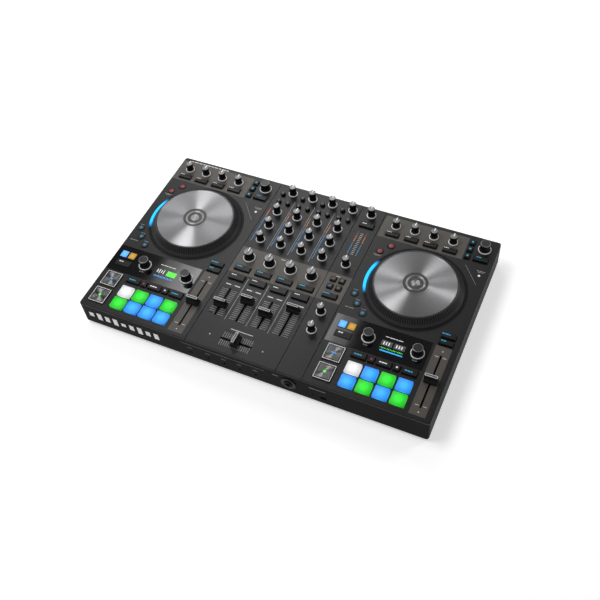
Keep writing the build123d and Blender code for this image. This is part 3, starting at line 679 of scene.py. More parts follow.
class Printer:
    """Collects small flat marks of one finish and lays them down as one piece."""

    def __init__(self, panel: Panel, look: Look, height: float = 0.05) -> None:
        """Starts an empty sheet.

        Args:
            panel: the panel it prints on.
            look: the ink.
            height: how far a mark stands up, in millimetres.
        """
        self.panel, self.look, self.height = panel, look, height
        self.marks: List[Piece] = []

    def bar(self, x: float, y: float, width: float, depth: float, z: float = 0.0, turn: float = 0.0) -> None:
        """Adds a bar at a place in millimetres, turned about Z by an angle in degrees."""
        Bench.clear()
        bpy.ops.mesh.primitive_cube_add(size=1.0, location=self.panel.at(x, y, z),
                                        rotation=(0.0, 0.0, math.radians(turn)))
        bpy.context.object.scale = (width * MM, depth * MM, self.height * 2 * MM)
        self.marks.append(bpy.context.object)

    def row(self, x: float, y: float, width: float, depth: float, step: Tuple[float, float], count: int,
            z: float = 0.0) -> None:
        """Adds a row of equal bars, one step apart, with an array that is applied."""
        obj = Bench.slab("row", self.panel.at(x, y, z), (width, depth, self.height * 2))
        array = obj.modifiers.new("row", "ARRAY")
        array.count = count
        array.use_relative_offset, array.use_constant_offset = False, True
        array.constant_offset_displace = (step[0] * MM, step[1] * MM, 0.0)
        bpy.ops.object.modifier_apply(modifier="row")
        self.marks.append(obj)

    def dot(self, x: float, y: float, radius: float, z: float = 0.0) -> None:
        """Adds a round dot."""
        self.marks.append(Bench.drum("dot", self.panel.at(x, y, z - self.height), radius, 2 * self.height, 16))

    def words(self, x: float, y: float, lengths: Sequence[float], depth: float = 1.0, z: float = 0.0,
              gap: float = 0.8) -> None:
        """Adds a row of plain dashes in place of a caption, centred on x."""
        start = x - (sum(lengths) + gap * (len(lengths) - 1)) / 2
        for length in lengths:
            self.bar(start + length / 2, y, length, depth, z)
            start += length + gap

    def press(self, name: str, body: str, slot: str) -> Piece:
        """Joins the marks into one piece on a body, and returns it."""
        made = Bench.join(self.marks, name)
        Bench.take(made)
        bpy.ops.object.transform_apply(location=True, rotation=True, scale=True)
        Bench.soften(made, self.height * 0.4)
        Bench.paint(made, self.look)
        return Bench.mount(made, body, slot)


# ------------------------------------------------------------ controls


class KnobKind(Enum):
    """The three families of rotary control."""

    POT = "pot"
    FILTER = "filter"
    DIAL = "dial"


@dataclass
class KnobMaker:
    """Fluted rotary knobs with a bright foot ring. One master of each kind is made and copied."""

    panel: Panel
    sides: int = 72
    flute: float = 0.45
    ring_height: float = 1.5
    masters: Dict[Tuple[KnobKind, float], Piece] = field(default_factory=dict)

    SIZES = {KnobKind.POT: (7.1, 5.3), KnobKind.FILTER: (9.2, 6.9), KnobKind.DIAL: (9.5, 7.4)}

    def barrel(self, kind: KnobKind, radius: float, height: float) -> Piece:
        """Makes the fluted barrel with its dished top, whose upper 0.9 mm takes a light grey cap finish as a
        painted highlight.

        Args:
            kind: the family of knob.
            radius: the barrel's radius in millimetres.
            height: its top above the panel in millimetres.

        Returns:
            The barrel, standing on the panel's level at the origin.
        """
        obj = Bench.drum("barrel", (0.0, 0.0, 0.9 * MM), radius, height - 0.9, self.sides, radius - 0.3)
        step = 2 * math.pi / self.sides

        def is_flute(face: bpy.types.MeshPolygon) -> bool:
            """Tells whether a face is every third one of the barrel's lower wall."""
            turn = math.atan2(face.center.y, face.center.x) / step - 0.5
            return abs(face.normal.z) < 0.5 and face.center.z < 0.7 * height * MM and round(turn) % 3 == 0

        Bench.crown(obj)
        Bench.bevel(0.55)
        Bench.pick(obj, is_flute)
        bpy.ops.mesh.inset(thickness=0.07 * MM, use_individual=True)
        bpy.ops.transform.shrink_fatten(value=-self.flute * MM)
        Bench.done()
        Bench.crown(obj)
        Bench.terrace((0.35, -0.25), (radius * 0.45, -0.1))
        Bench.paint(obj, Look.BARREL)
        # Painted highlight: the knob's top 0.9 mm takes the light grey cap finish; a dial keeps its dark middle,
        # so only its rim is lightened.
        Bench.paint(obj, Look.KNOB_TOP_HIGHLIGHT, lambda face: face.center.z > (height - 0.9) * MM)
        if kind is KnobKind.DIAL:
            Bench.paint(obj, Look.DIAL_TOP, lambda face: face.center.z > (height - 0.9) * MM
                        and face.normal.z > FLAT and Vector(face.center[:2]).length < (radius - 1.35) * MM)
        return obj

    def ring(self, radius: float) -> Piece:
        """Makes the white ring round the knob's foot, brightened by a painted glow though it is no lamp, with a
        dark floor inside.
        """
        obj = Bench.drum("ring", (0.0, 0.0, 0.5 * MM), radius, self.ring_height, self.sides)
        Bench.crown(obj)
        Bench.bevel(0.18)
        Bench.crown(obj)
        Bench.terrace((0.85, -0.6))
        Bench.paint(obj, Look.BARREL)
        # Painted light: the outer band of the ring takes the white finish that glows, though it is no lamp.
        Bench.paint(obj, Look.FOOT_RING_PAINTED_GLOW, lambda face: Vector(face.center[:2]).length > (radius - 1.1) * MM)
        return obj

    def pointer(self, kind: KnobKind, radius: float, height: float) -> List[Piece]:
        """Makes the white pointer over the top and down the side, towards the rear of the panel; its white print
        also glows as a painted highlight.
        """
        if kind is KnobKind.DIAL:
            return []
        parts, lift = [], 0.0
        if kind is KnobKind.FILTER:
            lift = 0.75
            parts = [Bench.slab("fin", (0.0, 0.0, (height + 0.1) * MM), (3.0, 1.9 * radius, 1.1), 0.35)]
            # Painted highlight: the filter knob's fin takes the light grey cap finish.
            Bench.paint(parts[0], Look.KNOB_TOP_HIGHLIGHT)
        for y, z, depth, tall in ((radius * 0.52, height + lift, radius * 0.96, 0.5),
                                  (radius - 0.16, height - 2.1, 0.7, 4.4)):
            parts.append(Bench.slab("line", (0.0, y * MM, z * MM), (1.5, depth, tall), 0.1))
            # Painted highlight: the pointer's white print glows, though it is no lamp.
            Bench.paint(parts[-1], Look.POINTER)
        return parts

    def master(self, kind: KnobKind, height: float) -> Piece:
        """Returns the master of a kind and height, made on first use."""
        key = (kind, round(height, 1))
        if key not in self.masters:
            foot, radius = self.SIZES[kind]
            parts = [self.barrel(kind, radius, height), self.ring(foot), *self.pointer(kind, radius, height)]
            made = Bench.join(parts, f"master_{kind.value}_{len(self.masters)}")
            Bench.smooth(made)
            self.masters[key] = made
        return self.masters[key]

    def fit(self, node: str) -> None:
        """Makes the knob of one CAD node, at that node's place."""
        kind = KnobKind.DIAL if "encoder" in node else KnobKind.FILTER if "filter" in node else KnobKind.POT
        master = self.master(kind, (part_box(node)[1].z - self.panel.z) / MM)
        Bench.mount(Bench.copy(master, f"{node}_cap", self.panel.over(node)), node, "knob", node)

    def build(self) -> None:
        """Makes every knob and puts the masters away."""
        for node in sorted(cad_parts):
            if node.endswith("_knob") or "_knob_" in node or "encoder" in node:
                self.fit(node)
        for master in self.masters.values():
            bpy.data.objects.remove(master)


@dataclass
class FaderMaker:
    """Fader caps with a gripping ridge whose lighter top and light outline are painted highlights, and the lever
    below.
    """

    panel: Panel
    width: float = 18.4
    length: float = 11.0
    height: float = 13.4

    def cap(self) -> Piece:
        """Makes the cap: a low base drawn in to a waist and up to a narrow ridge."""
        obj = Bench.slab("cap", (0.0, 0.0, 1.8 * MM), (self.width, self.length, 2.4))
        for rise, squeeze in ((0.9, 0.86), (2.2, 0.60), (2.6, 0.85), (3.0, 0.95), (1.7, 0.95)):
            high = max(v.co.z for v in obj.data.vertices)
            Bench.pick(obj, lambda face: face.normal.z > FLAT and face.center.z > high - 1e-6)
            Bench.lift(rise)
            bpy.ops.transform.resize(value=(0.995, squeeze, 1.0))
            Bench.done()
        Bench.soften(obj, 0.45, 3, 25.0)
        Bench.paint(obj, Look.FADER)
        # Painted highlight: the top 0.75 mm of the cap, its ridge, takes the lighter ridge finish.
        Bench.paint(obj, Look.FADER_RIDGE_HIGHLIGHT, lambda face: face.center.z > (self.height - 0.75) * MM)
        return obj

    def trim(self) -> List[Piece]:
        """Makes the light outline on the ridge and the light foot at each end, both painted highlights on the
        cap's edges, and the lever in the slot.
        """
        parts = []
        # Painted highlight: white lines along the ridge's edges and at the base's ends stand in for light caught
        # by the cap's edges.
        for side in (-1, 1):
            for x, y, z, size in ((0.0, side * 1.55, self.height - 0.05, (17.0, 0.75, 0.3)),
                                  (side * 8.1, 0.0, self.height - 0.1, (0.75, 3.2, 0.3)),
                                  (side * 8.75, 0.0, 2.1, (0.3, 8.6, 0.5))):
                parts.append(Bench.slab("line", (x * MM, y * MM, z * MM), size, 0.08))
                Bench.paint(parts[-1], Look.INK)
        parts.append(Bench.slab("lever", (0.0, 0.0, -3.5 * MM), (1.6, 5.0, 9.0), 0.1))
        Bench.paint(parts[-1], Look.LEVER)
        return parts

    def build(self) -> None:
        """Makes the master and one cap for each fader."""
        master = Bench.join([self.cap(), *self.trim()], "master_fader")
        Bench.smooth(master, 30.0)
        Bench.take(master)
        bpy.ops.object.duplicate(linked=False)
        across = Bench.place(bpy.context.object, "master_crossfader", (0.0, 0.0, 0.0), (0.0, 0.0, 90.0))
        for node in sorted(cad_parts):
            if "fader" in node:
                maker = across if node == "crossfader" else master
                Bench.mount(Bench.copy(maker, f"{node}_cap", self.panel.over(node)), node, "fader_cap", node)
        for spare in (master, across):
            bpy.data.objects.remove(spare)


@dataclass
class JogWheel:
    """Motorised jog wheel: ribbed rim, spun platter with a turned boss, and the light ring round it."""

    panel: Panel
    side: str
    foot_radius: float = 69.0
    crown_radius: float = 59.5
    platter_radius: float = 57.7
    crown: float = 12.5
    boss_radius: float = 21.0
    ribs: int = 120
    rib_span: Tuple[float, float] = (0.30, 0.93)

    def centre(self) -> Point:
        """Returns the wheel's centre on the panel's level."""
        return self.panel.over(f"jog_wheel_{self.side}")

    def rim(self) -> Piece:
        """Makes the conical rim with its finger ribs, whose recessed faces are painted darker as shade, and the
        seat for the platter.
        """
        x, y, z = self.centre()
        foot, height = z + 0.6 * MM, (self.crown - 0.7) * MM
        obj = Bench.drum("rim", (x, y, foot), self.foot_radius, self.crown - 0.7, 2 * self.ribs,
                         self.crown_radius)
        low, high = self.rib_span
        Bench.take(obj)
        bpy.ops.object.mode_set(mode="EDIT")
        for share in (low, high):
            bpy.ops.mesh.select_all(action="SELECT")
            bpy.ops.mesh.bisect(plane_co=(x, y, foot + share * height), plane_no=(0.0, 0.0, 1.0))
        Bench.done()
        step = math.pi / self.ribs

        def is_rib(face: bpy.types.MeshPolygon) -> bool:
            """Tells whether a face is every second one of the ribbed band."""
            share = (face.center.z - foot) / height
            turn = math.atan2(face.center.y - y, face.center.x - x) / step - 0.5
            return low < share < high and len(face.vertices) == 4 and round(turn) % 2 == 0

        Bench.pick(obj, is_rib)
        bpy.ops.mesh.inset(thickness=0.16 * MM, use_individual=True)
        bpy.ops.transform.shrink_fatten(value=-0.7 * MM)
        Bench.done()
        Bench.paint(obj, Look.RIM)
        # Painted shade: the recessed rib faces take the near-black knob rubber finish, for the shade in the
        # grooves.
        Bench.paint(obj, Look.BARREL, lambda face: face.select)
        Bench.crown(obj)
        Bench.bevel(0.25)
        Bench.crown(obj)
        Bench.terrace((self.crown_radius - self.platter_radius - 0.5, -1.6))
        Bench.pick(obj, lambda face: face.normal.z < -FLAT and len(face.vertices) > 6)
        Bench.lift(-1.6)
        Bench.done()
        Bench.smooth(obj, 28.0)
        return obj

    def platter(self) -> Piece:
        """Makes the spun platter with its edge groove and its stepped boss."""
        x, y, z = self.centre()
        obj = Bench.drum("platter", (x, y, z + (self.crown - 2.4) * MM), self.platter_radius, 2.4, 192)
        Bench.crown(obj)
        Bench.bevel(0.5, 3)
        Bench.crown(obj)
        for width, rise in ((0.8, -0.12), (0.5, 0.12), (self.platter_radius - 1.8 - self.boss_radius, 0.0),
                            (0.4, 0.5), (2.4, 0.0), (0.3, -0.6), (4.0, 0.0), (0.3, 0.5), (2.2, 0.0), (0.3, -0.5),
                            (4.6, 0.0), (0.4, 0.5), (1.2, 0.0)):
            bpy.ops.mesh.inset(thickness=width * MM)
            if rise:
                bpy.ops.transform.translate(value=(0.0, 0.0, rise * MM))
        Bench.done()
        finish = SpunFinish(f"spun_platter_{self.side}", (0.38, 0.38, 0.389), 0.37, 1.0, depth=0.000002,
                            centre=(x, y, 0.0), pitch=900.0, stretch=1.0)
        obj.data.materials.append(finish.build())
        floor, inside = z + (self.crown + 0.05) * MM, (self.boss_radius - 2.4) * MM
        Bench.paint(obj, Look.ANODISED, lambda face: face.normal.z > FLAT and face.center.z < floor
                    and Vector((face.center.x - x, face.center.y - y)).length < inside)
        Bench.smooth(obj, 20.0)
        return obj

    def build(self) -> None:
        """Makes the wheel on its body."""
        body = f"jog_wheel_{self.side}"
        for name, piece, nodes in (("jog_rim", self.rim(), (body,)), ("jog_platter", self.platter(), ())):
            piece.name = f"{name}_{self.side}"
            Bench.mount(piece, body, "spun_metal", *nodes)


@dataclass
class DeckFace:
    """What one deck shows besides its wheel: lit pads, transport buttons, key lenses, display and print."""

    panel: Panel
    side: str
    wheel: JogWheel
    pad_colours: Tuple[Look, ...] = ()
    lcd_bright: bool = True

    PAD = (20.1, 18.7, 2.2)
    PAD_PLACE = (-31.4, 23.6, (-118.5, -140.0))
    PLAY = (25.5, 26.5, 1.8)
    PLAY_X = -64.0
    WIDE_KEYS = ((-64.8, 119.5), (-35.5, 119.5), (-6.2, 119.5), (23.1, 119.5))
    RED_KEYS = ((-58.3, 61.5), (-70.5, 46.8))
    BLUE_KEYS = ((-75.8, -38.5), (-66.0, -54.0), (-52.5, -67.0))
    WHEEL_Y = 36.5
    SCREEN_TOP = 0.06
    MODE_KEYS = ((-31.5, 21.0, Look.CYAN), (-13.75, 9.0, Look.RED_LIT), (4.0, 21.0, Look.WHITE_LIT),
                 (21.75, 9.0, Look.WHITE_LIT), (39.5, 21.0, Look.CYAN))

    def x(self, offset: float) -> float:
        """Turns an offset from the wheel's centre into millimetres from the panel's centre."""
        return (self.wheel.centre()[0] - self.panel.x) / MM + offset

    def pads(self) -> None:
        """Makes the eight performance pads from one master, each with its own lit finish."""
        width, depth, rise = self.PAD
        thick = rise + 4.0
        master = Bench.slab("pad", (0.0, 0.0, (rise - thick / 2) * MM), (width, depth, thick), 0.7, 1.3, 3)
        Bench.unwrap(master, width)
        Bench.smooth(master)
        start, pitch, rows = self.PAD_PLACE
        for i, look in enumerate(self.pad_colours):
            place = self.panel.at(self.x(start + pitch * (i % 4)), rows[i // 4])
            pad = Bench.copy(master, f"pad_{self.side}_{i + 1}", place)
            Bench.paint(pad, look)
            Bench.mount(pad, "performance_pads", "pad", "performance_pads")
        bpy.data.objects.remove(master)

    def transport(self) -> None:
        """Makes the cue and play buttons: a pale frame, painted highlight for the button's chamfer, round a spun
        face with a lit mark.
        """
        width, depth, rise = self.PLAY
        x = self.x(self.PLAY_X)
        for name, y, look in (("cue", -105.5, Look.BLUE_LIT), ("play", -137.0, Look.GREEN_LIT)):
            body = Bench.slab("body", self.panel.at(x, y, (rise - 6.0) / 2), (width, depth, rise + 6.0),
                              0.35, 1.0)
            Bench.paint(body, Look.KEY)
            # Painted highlight: a white inked frame round the key top stands in for the light caught by its
            # chamfer.
            frame_highlight = Bench.slab("frame_highlight", self.panel.at(x, y, rise), (width - 1.2, depth - 1.2, 0.16))
            Bench.pick(frame_highlight, lambda face: face.normal.z > FLAT)
            Bench.terrace((0.95, -0.14))
            Bench.paint(frame_highlight, Look.INK)
            base = Bench.join([body, frame_highlight], f"{name}_base_{self.side}")
            Bench.smooth(base)
            Bench.mount(base, "transport_buttons", "transport", "transport_buttons")
            face = Bench.slab(f"{name}_face_{self.side}", self.panel.at(x, y, rise + 0.02),
                              (width - 6.0, depth - 6.0, 0.2), 0.05)
            finish = SpunFinish(f"spun_{name}_{self.side}", (0.20, 0.20, 0.203), 0.37, 1.0, depth=0.0,
                                centre=self.panel.at(x, y), pitch=500.0, stretch=1.0, marks=0.04)
            face.data.materials.append(finish.build())
            Bench.mount(face, "transport_buttons", "transport")
            mark = Printer(self.panel, look, 0.06)
            if name == "cue":
                mark.bar(x, y, 6.4, 1.3, rise + 0.12)
            else:
                mark.dot(x, y, 2.1, rise + 0.12)
            mark.press(f"{name}_mark_{self.side}", "transport_buttons", "transport")

    def lenses(self) -> None:
        """Adds the coloured lenses of the round and square deck keys."""
        for label, places, look, ink, dashes in (
                ("red", self.RED_KEYS, Look.RED_DIM, Look.INK_DIM, ((0.0, 2.6, 0.5),)),
                ("blue", self.BLUE_KEYS, Look.SLATE, Look.CYAN, ((-0.9, 3.4, 0.8), (0.9, 3.4, 0.8)))):
            made, marks = [], Printer(self.panel, ink, 0.05)
            for dx, dy in places:
                x, y = self.x(dx), self.WHEEL_Y + dy
                made.append(Bench.drum("lens", self.panel.at(x, y, 0.9), 3.7, 0.3, 40))
                Bench.crown(made[-1])
                Bench.bevel(0.12)
                for rise, width, depth in dashes:
                    marks.bar(x, y + rise, width, depth, 1.22)
            piece = Bench.join(made, f"lenses_{label}_{self.side}")
            Bench.paint(piece, look)
            Bench.smooth(piece)
            Bench.mount(piece, "deck_keys", "key")
            marks.press(f"lens_marks_{label}_{self.side}", "deck_keys", "key")
        for name, dx, look in (("blue", -71.0, Look.KEY_BLUE), ("orange", -57.7, Look.KEY_ORANGE)):
            cap = Bench.slab("cap", (0.0, 0.0, 1.1 * MM), (10.4, 11.2, 0.5), 0.15, 0.6)
            Bench.unwrap(cap, 11.0)
            cap = Bench.place(cap, f"deck_key_{name}_{self.side}", self.panel.at(self.x(dx), -57.0))
            Bench.paint(cap, look)
            Bench.mount(cap, "deck_keys", "key")

    def key_print(self) -> None:
        """Prints the small lit captions on the keys."""
        cyan, white, red = (Printer(self.panel, look, 0.04)
                            for look in (Look.CYAN, Look.WHITE_LIT, Look.RED_LIT))
        for dx, y in self.WIDE_KEYS:
            white.words(self.x(dx - 5.6), y + 2.2, (1.6, 2.6, 1.4), 1.1, KEY_TOP)
        for y in (145.0, 131.5, 118.0):
            cyan.bar(self.x(49.8), y + 0.4, 2.6, 2.4, KEY_TOP)
        for dx, y, lengths, depth in ((66.0, 120.6, (2.4, 3.4), 1.2), (64.8, -23.4, (3.6, 4.4, 1.6), 1.5),
                                      (64.8, -34.9, (2.6, 3.0), 1.5)):
            cyan.words(self.x(dx), y, lengths, depth, KEY_TOP)
        white.words(self.x(-68.5), -71.0, (3.2, 2.6), 1.6, 1.0)
        for dx, width, look in self.MODE_KEYS:
            sheet = {Look.CYAN: cyan, Look.RED_LIT: red, Look.WHITE_LIT: white}[look]
            if width > 10:
                sheet.words(self.x(dx - 1.5), -97.0, (3.0, 4.2, 2.4), 1.5, KEY_TOP, 0.5)
            else:
                sheet.dot(self.x(dx), -97.0, 1.3, KEY_TOP)
        for sheet, name in ((cyan, "cyan"), (white, "white"), (red, "red")):
            sheet.press(f"key_captions_{name}_{self.side}", "deck_keys", "key")

    def plate_print(self) -> None:
        """Prints the deck's fixed marks: tempo scale, captions, guide line and status lamp."""
        ink, grey = (Printer(self.panel, look) for look in (Look.INK, Look.INK_LINE))
        lamp = Printer(self.panel, Look.WHITE_LIT, 0.1)
        for y in (-60.0, -138.5):
            for dx in (63.6, 74.4):
                ink.bar(self.x(dx), y, 5.0, 0.7)
        for y in (-50.5, -148.0):
            ink.dot(self.x(69.0), y, 0.9)
        grey.bar(self.x(64.0), 88.0, 0.4, 38.0, turn=39.0)
        for dx, y, lengths in ((-72.0, 76.5, (3.0, 5.0, 2.6)), (-72.0, 74.6, (4.0, 2.4)),
                               (-73.5, -27.0, (4.6, 3.0, 3.6)), (76.0, 98.5, (3.0, 4.4, 3.0)),
                               (76.0, 96.4, (4.4, 3.2))):
            grey.words(self.x(dx), y, lengths, 0.9)
        for dx, dy in self.BLUE_KEYS:
            grey.words(self.x(dx - 1.0), self.WHEEL_Y + dy + 7.0, (2.4, 3.2), 0.8)
        for dx in (-30.5, 39.0):
            grey.words(self.x(dx), -77.4, (2.6, 3.4), 0.8)
        if self.side == "left":
            ink.words(-215.0, 154.6, (3.0, 7.5, 6.0, 4.5, 8.5, 3.5, 6.5, 5.0, 7.0, 4.0), 1.8, gap=1.3)
        lamp.dot(self.x(75.5), 90.0, 1.8)
        for sheet, name in ((ink, "print"), (grey, "captions"), (lamp, "lamp")):
            sheet.press(f"deck_{name}_{self.side}", "chassis", "panel")

    def display(self) -> None:
        """Makes the display under the band's glass: a dim sheet with plain bars and blocks."""
        x0, y0 = self.x(5.0), -66.3
        sheet = Bench.slab(f"screen_{self.side}", self.panel.at(x0, y0, 0.03), (38.5, 27.5, 0.06), 0.02)
        Bench.paint(sheet, Look.SCREEN_DARK)
        Bench.mount(sheet, "chassis", "window")
        white, blue, green, grey = (Printer(self.panel, look, 0.05) for look in
                                    (Look.WHITE_LIT, Look.BLUE_LIT, Look.GREEN_LIT, Look.SCREEN_GREY))
        z = self.SCREEN_TOP
        white.words(x0 - 2.0, y0 + 11.6, (5.0, 7.0, 4.0, 6.0), 1.0, z)
        if self.lcd_bright:
            green.bar(x0 + 9.5, y0 - 0.5, 15.0, 9.0, z)
            for i, height in enumerate((6.0, 7.5, 5.0, 7.0)):
                white.bar(x0 - 13.5 + 3.4 * i, y0, 1.4, height, z)
            for i in range(14):
                blue.bar(x0 - 15.0 + 2.3 * i, y0 - 9.5, 1.3, 1.2 + 1.6 * abs(math.sin(1.7 * i)), z)
        else:
            for dx in (-9.0, 9.0):
                grey.bar(x0 + dx, y0 + 1.0, 15.5, 8.5, z)
                for i in range(3):
                    white.bar(x0 + dx - 4.0 + 3.6 * i, y0 + 1.0, 1.6, 5.0, z + 0.04)
            for i in range(16):
                green.bar(x0 - 16.0 + 2.1 * i, y0 - 7.0, 1.0, 0.8 + 1.4 * abs(math.sin(2.3 * i)), z)
            blue.bar(x0 + 1.0, y0 - 11.2, 32.0, 1.9, z)
        for printer, name in ((white, "white"), (blue, "blue"), (green, "green"), (grey, "grey")):
            if printer.marks:
                printer.press(f"screen_{name}_{self.side}", "chassis", "window")

    def build(self) -> None:
        """Makes everything on the deck."""
        self.pads()
        self.transport()
        self.lenses()
        self.key_print()
        self.plate_print()
        self.display()


@dataclass
class MixerFace:
    """Print, level meters and key captions of the mixer and the master strip."""

    panel: Panel
    channels: Tuple[float, ...] = (-69.5, -36.2, -2.9, 30.4)
    meter_dx: float = -13.5
    separators: Tuple[float, ...] = (-52.7, -19.6, 13.6)
    master_meters: Tuple[float, float] = (61.0, 74.3)
    master_foot: float = 63.4

    def meters(self) -> None:
        """Lays the lit segments on the meter windows."""
        for look, start, count in ((Look.METER_BLUE, 35.8, 20), (Look.ORANGE_LIT, 88.4, 5),
                                   (Look.RED_LIT, 101.6, 2)):
            sheet = Printer(self.panel, look, 0.06)
            short = start < self.master_foot
            rows = [(x + self.meter_dx, start, count) for x in self.channels]
            rows += [(x, max(start, self.master_foot), 9 if short else count) for x in self.master_meters]
            for x, y, lit in rows:
                sheet.row(x, y, 1.5, 1.5, (0.0, 2.6), lit, 0.1)
            sheet.press(f"meter_{look.value.name}", "chassis", "window")

    def scales(self) -> None:
        """Prints the fader and crossfader scales, separators and captions."""
        ink, grey, fine, line = (Printer(self.panel, look)
                                 for look in (Look.INK, Look.INK_DIM, Look.INK_FINE, Look.INK_LINE))
        for x in self.channels:
            for side in (-1, 1):
                fine.row(x + side * 7.2, -105.0, 8.4, 1.15, (0.0, 3.42), 14)
                for y in (-105.0, -60.5):
                    ink.bar(x + side * 7.2, y, 8.8, 1.0)
            ink.bar(x - 6.5, -51.0, 8.4, 1.7)
            ink.bar(x + 7.5, -51.0, 8.4, 1.7)
            grey.bar(x + 0.4, -51.0, 0.8, 2.6)
        for x in self.separators:
            line.bar(x, 79.0, 0.7, 102.0)
            line.bar(x - 0.2, -71.0, 0.75, 76.0)
        ink.bar(-21.0, 17.5, 7.0, 1.0)
        ink.bar(66.0, 17.5, 6.0, 1.0)
        fine.row(-41.5, -132.0, 1.1, 8.6, (3.07, 0.0), 15)
        fine.row(-41.5, -145.2, 1.1, 8.0, (3.07, 0.0), 15)
        for x in (-41.5, 1.5):
            for side in (-1, 1):
                ink.bar(x, -138.5 + side * 6.4, 0.9, 9.2)
        ink.bar(-20.0, -120.5, 34.0, 1.0)
        for x in (-60.5, 20.5):
            ink.dot(x, -138.5, 1.0)
        line.row(67.6, 63.5, 4.6, 1.2, (0.0, 3.47), 13)
        for x in (61.2, 74.3):
            grey.bar(x, 104.8 + 4.0, 2.0, 0.5)
        ink.press("mixer_print", "chassis", "panel")
        grey.press("mixer_marks", "chassis", "panel")
        fine.press("mixer_scales", "chassis", "panel")
        line.press("mixer_lines", "chassis", "panel")

    def captions(self) -> None:
        """Prints the lit captions on the mixer keys."""
        cyan, white = (Printer(self.panel, look, 0.04) for look in (Look.CYAN, Look.WHITE_LIT))
        for x in self.channels:
            cyan.words(x - 5.6, -17.2, (2.6, 3.4, 1.6), 1.5, KEY_TOP, 0.5)
            white.words(x - 5.6, -34.4, (2.2, 3.2, 1.4), 1.2, KEY_TOP, 0.5)
        cyan.words(62.0, -17.2, (2.6, 4.0, 1.8), 1.5, KEY_TOP, 0.5)
        white.words(64.0, 124.2, (3.6, 2.4), 1.2, KEY_TOP, 0.6)
        for x, y, look, name in ((61.2, 10.5, Look.LENS_BROWN, "brown"), (74.3, 10.5, Look.LENS_GREEN, "green"),
                                 (61.2, -3.2, Look.LENS_BLUE, "blue"), (74.3, -3.2, Look.LENS_OLIVE, "olive")):
            glyph = Printer(self.panel, look)
            glyph.bar(x, y, 4.4, 4.0, KEY_TOP)
            glyph.press(f"quarter_key_{name}", "mixer_keys", "key")
        cyan.press("mixer_captions_cyan", "mixer_keys", "key")
        white.press("mixer_captions_white", "mixer_keys", "key")

    def build(self) -> None:
        """Makes everything on the mixer."""
        self.meters()
        self.scales()
        self.captions()


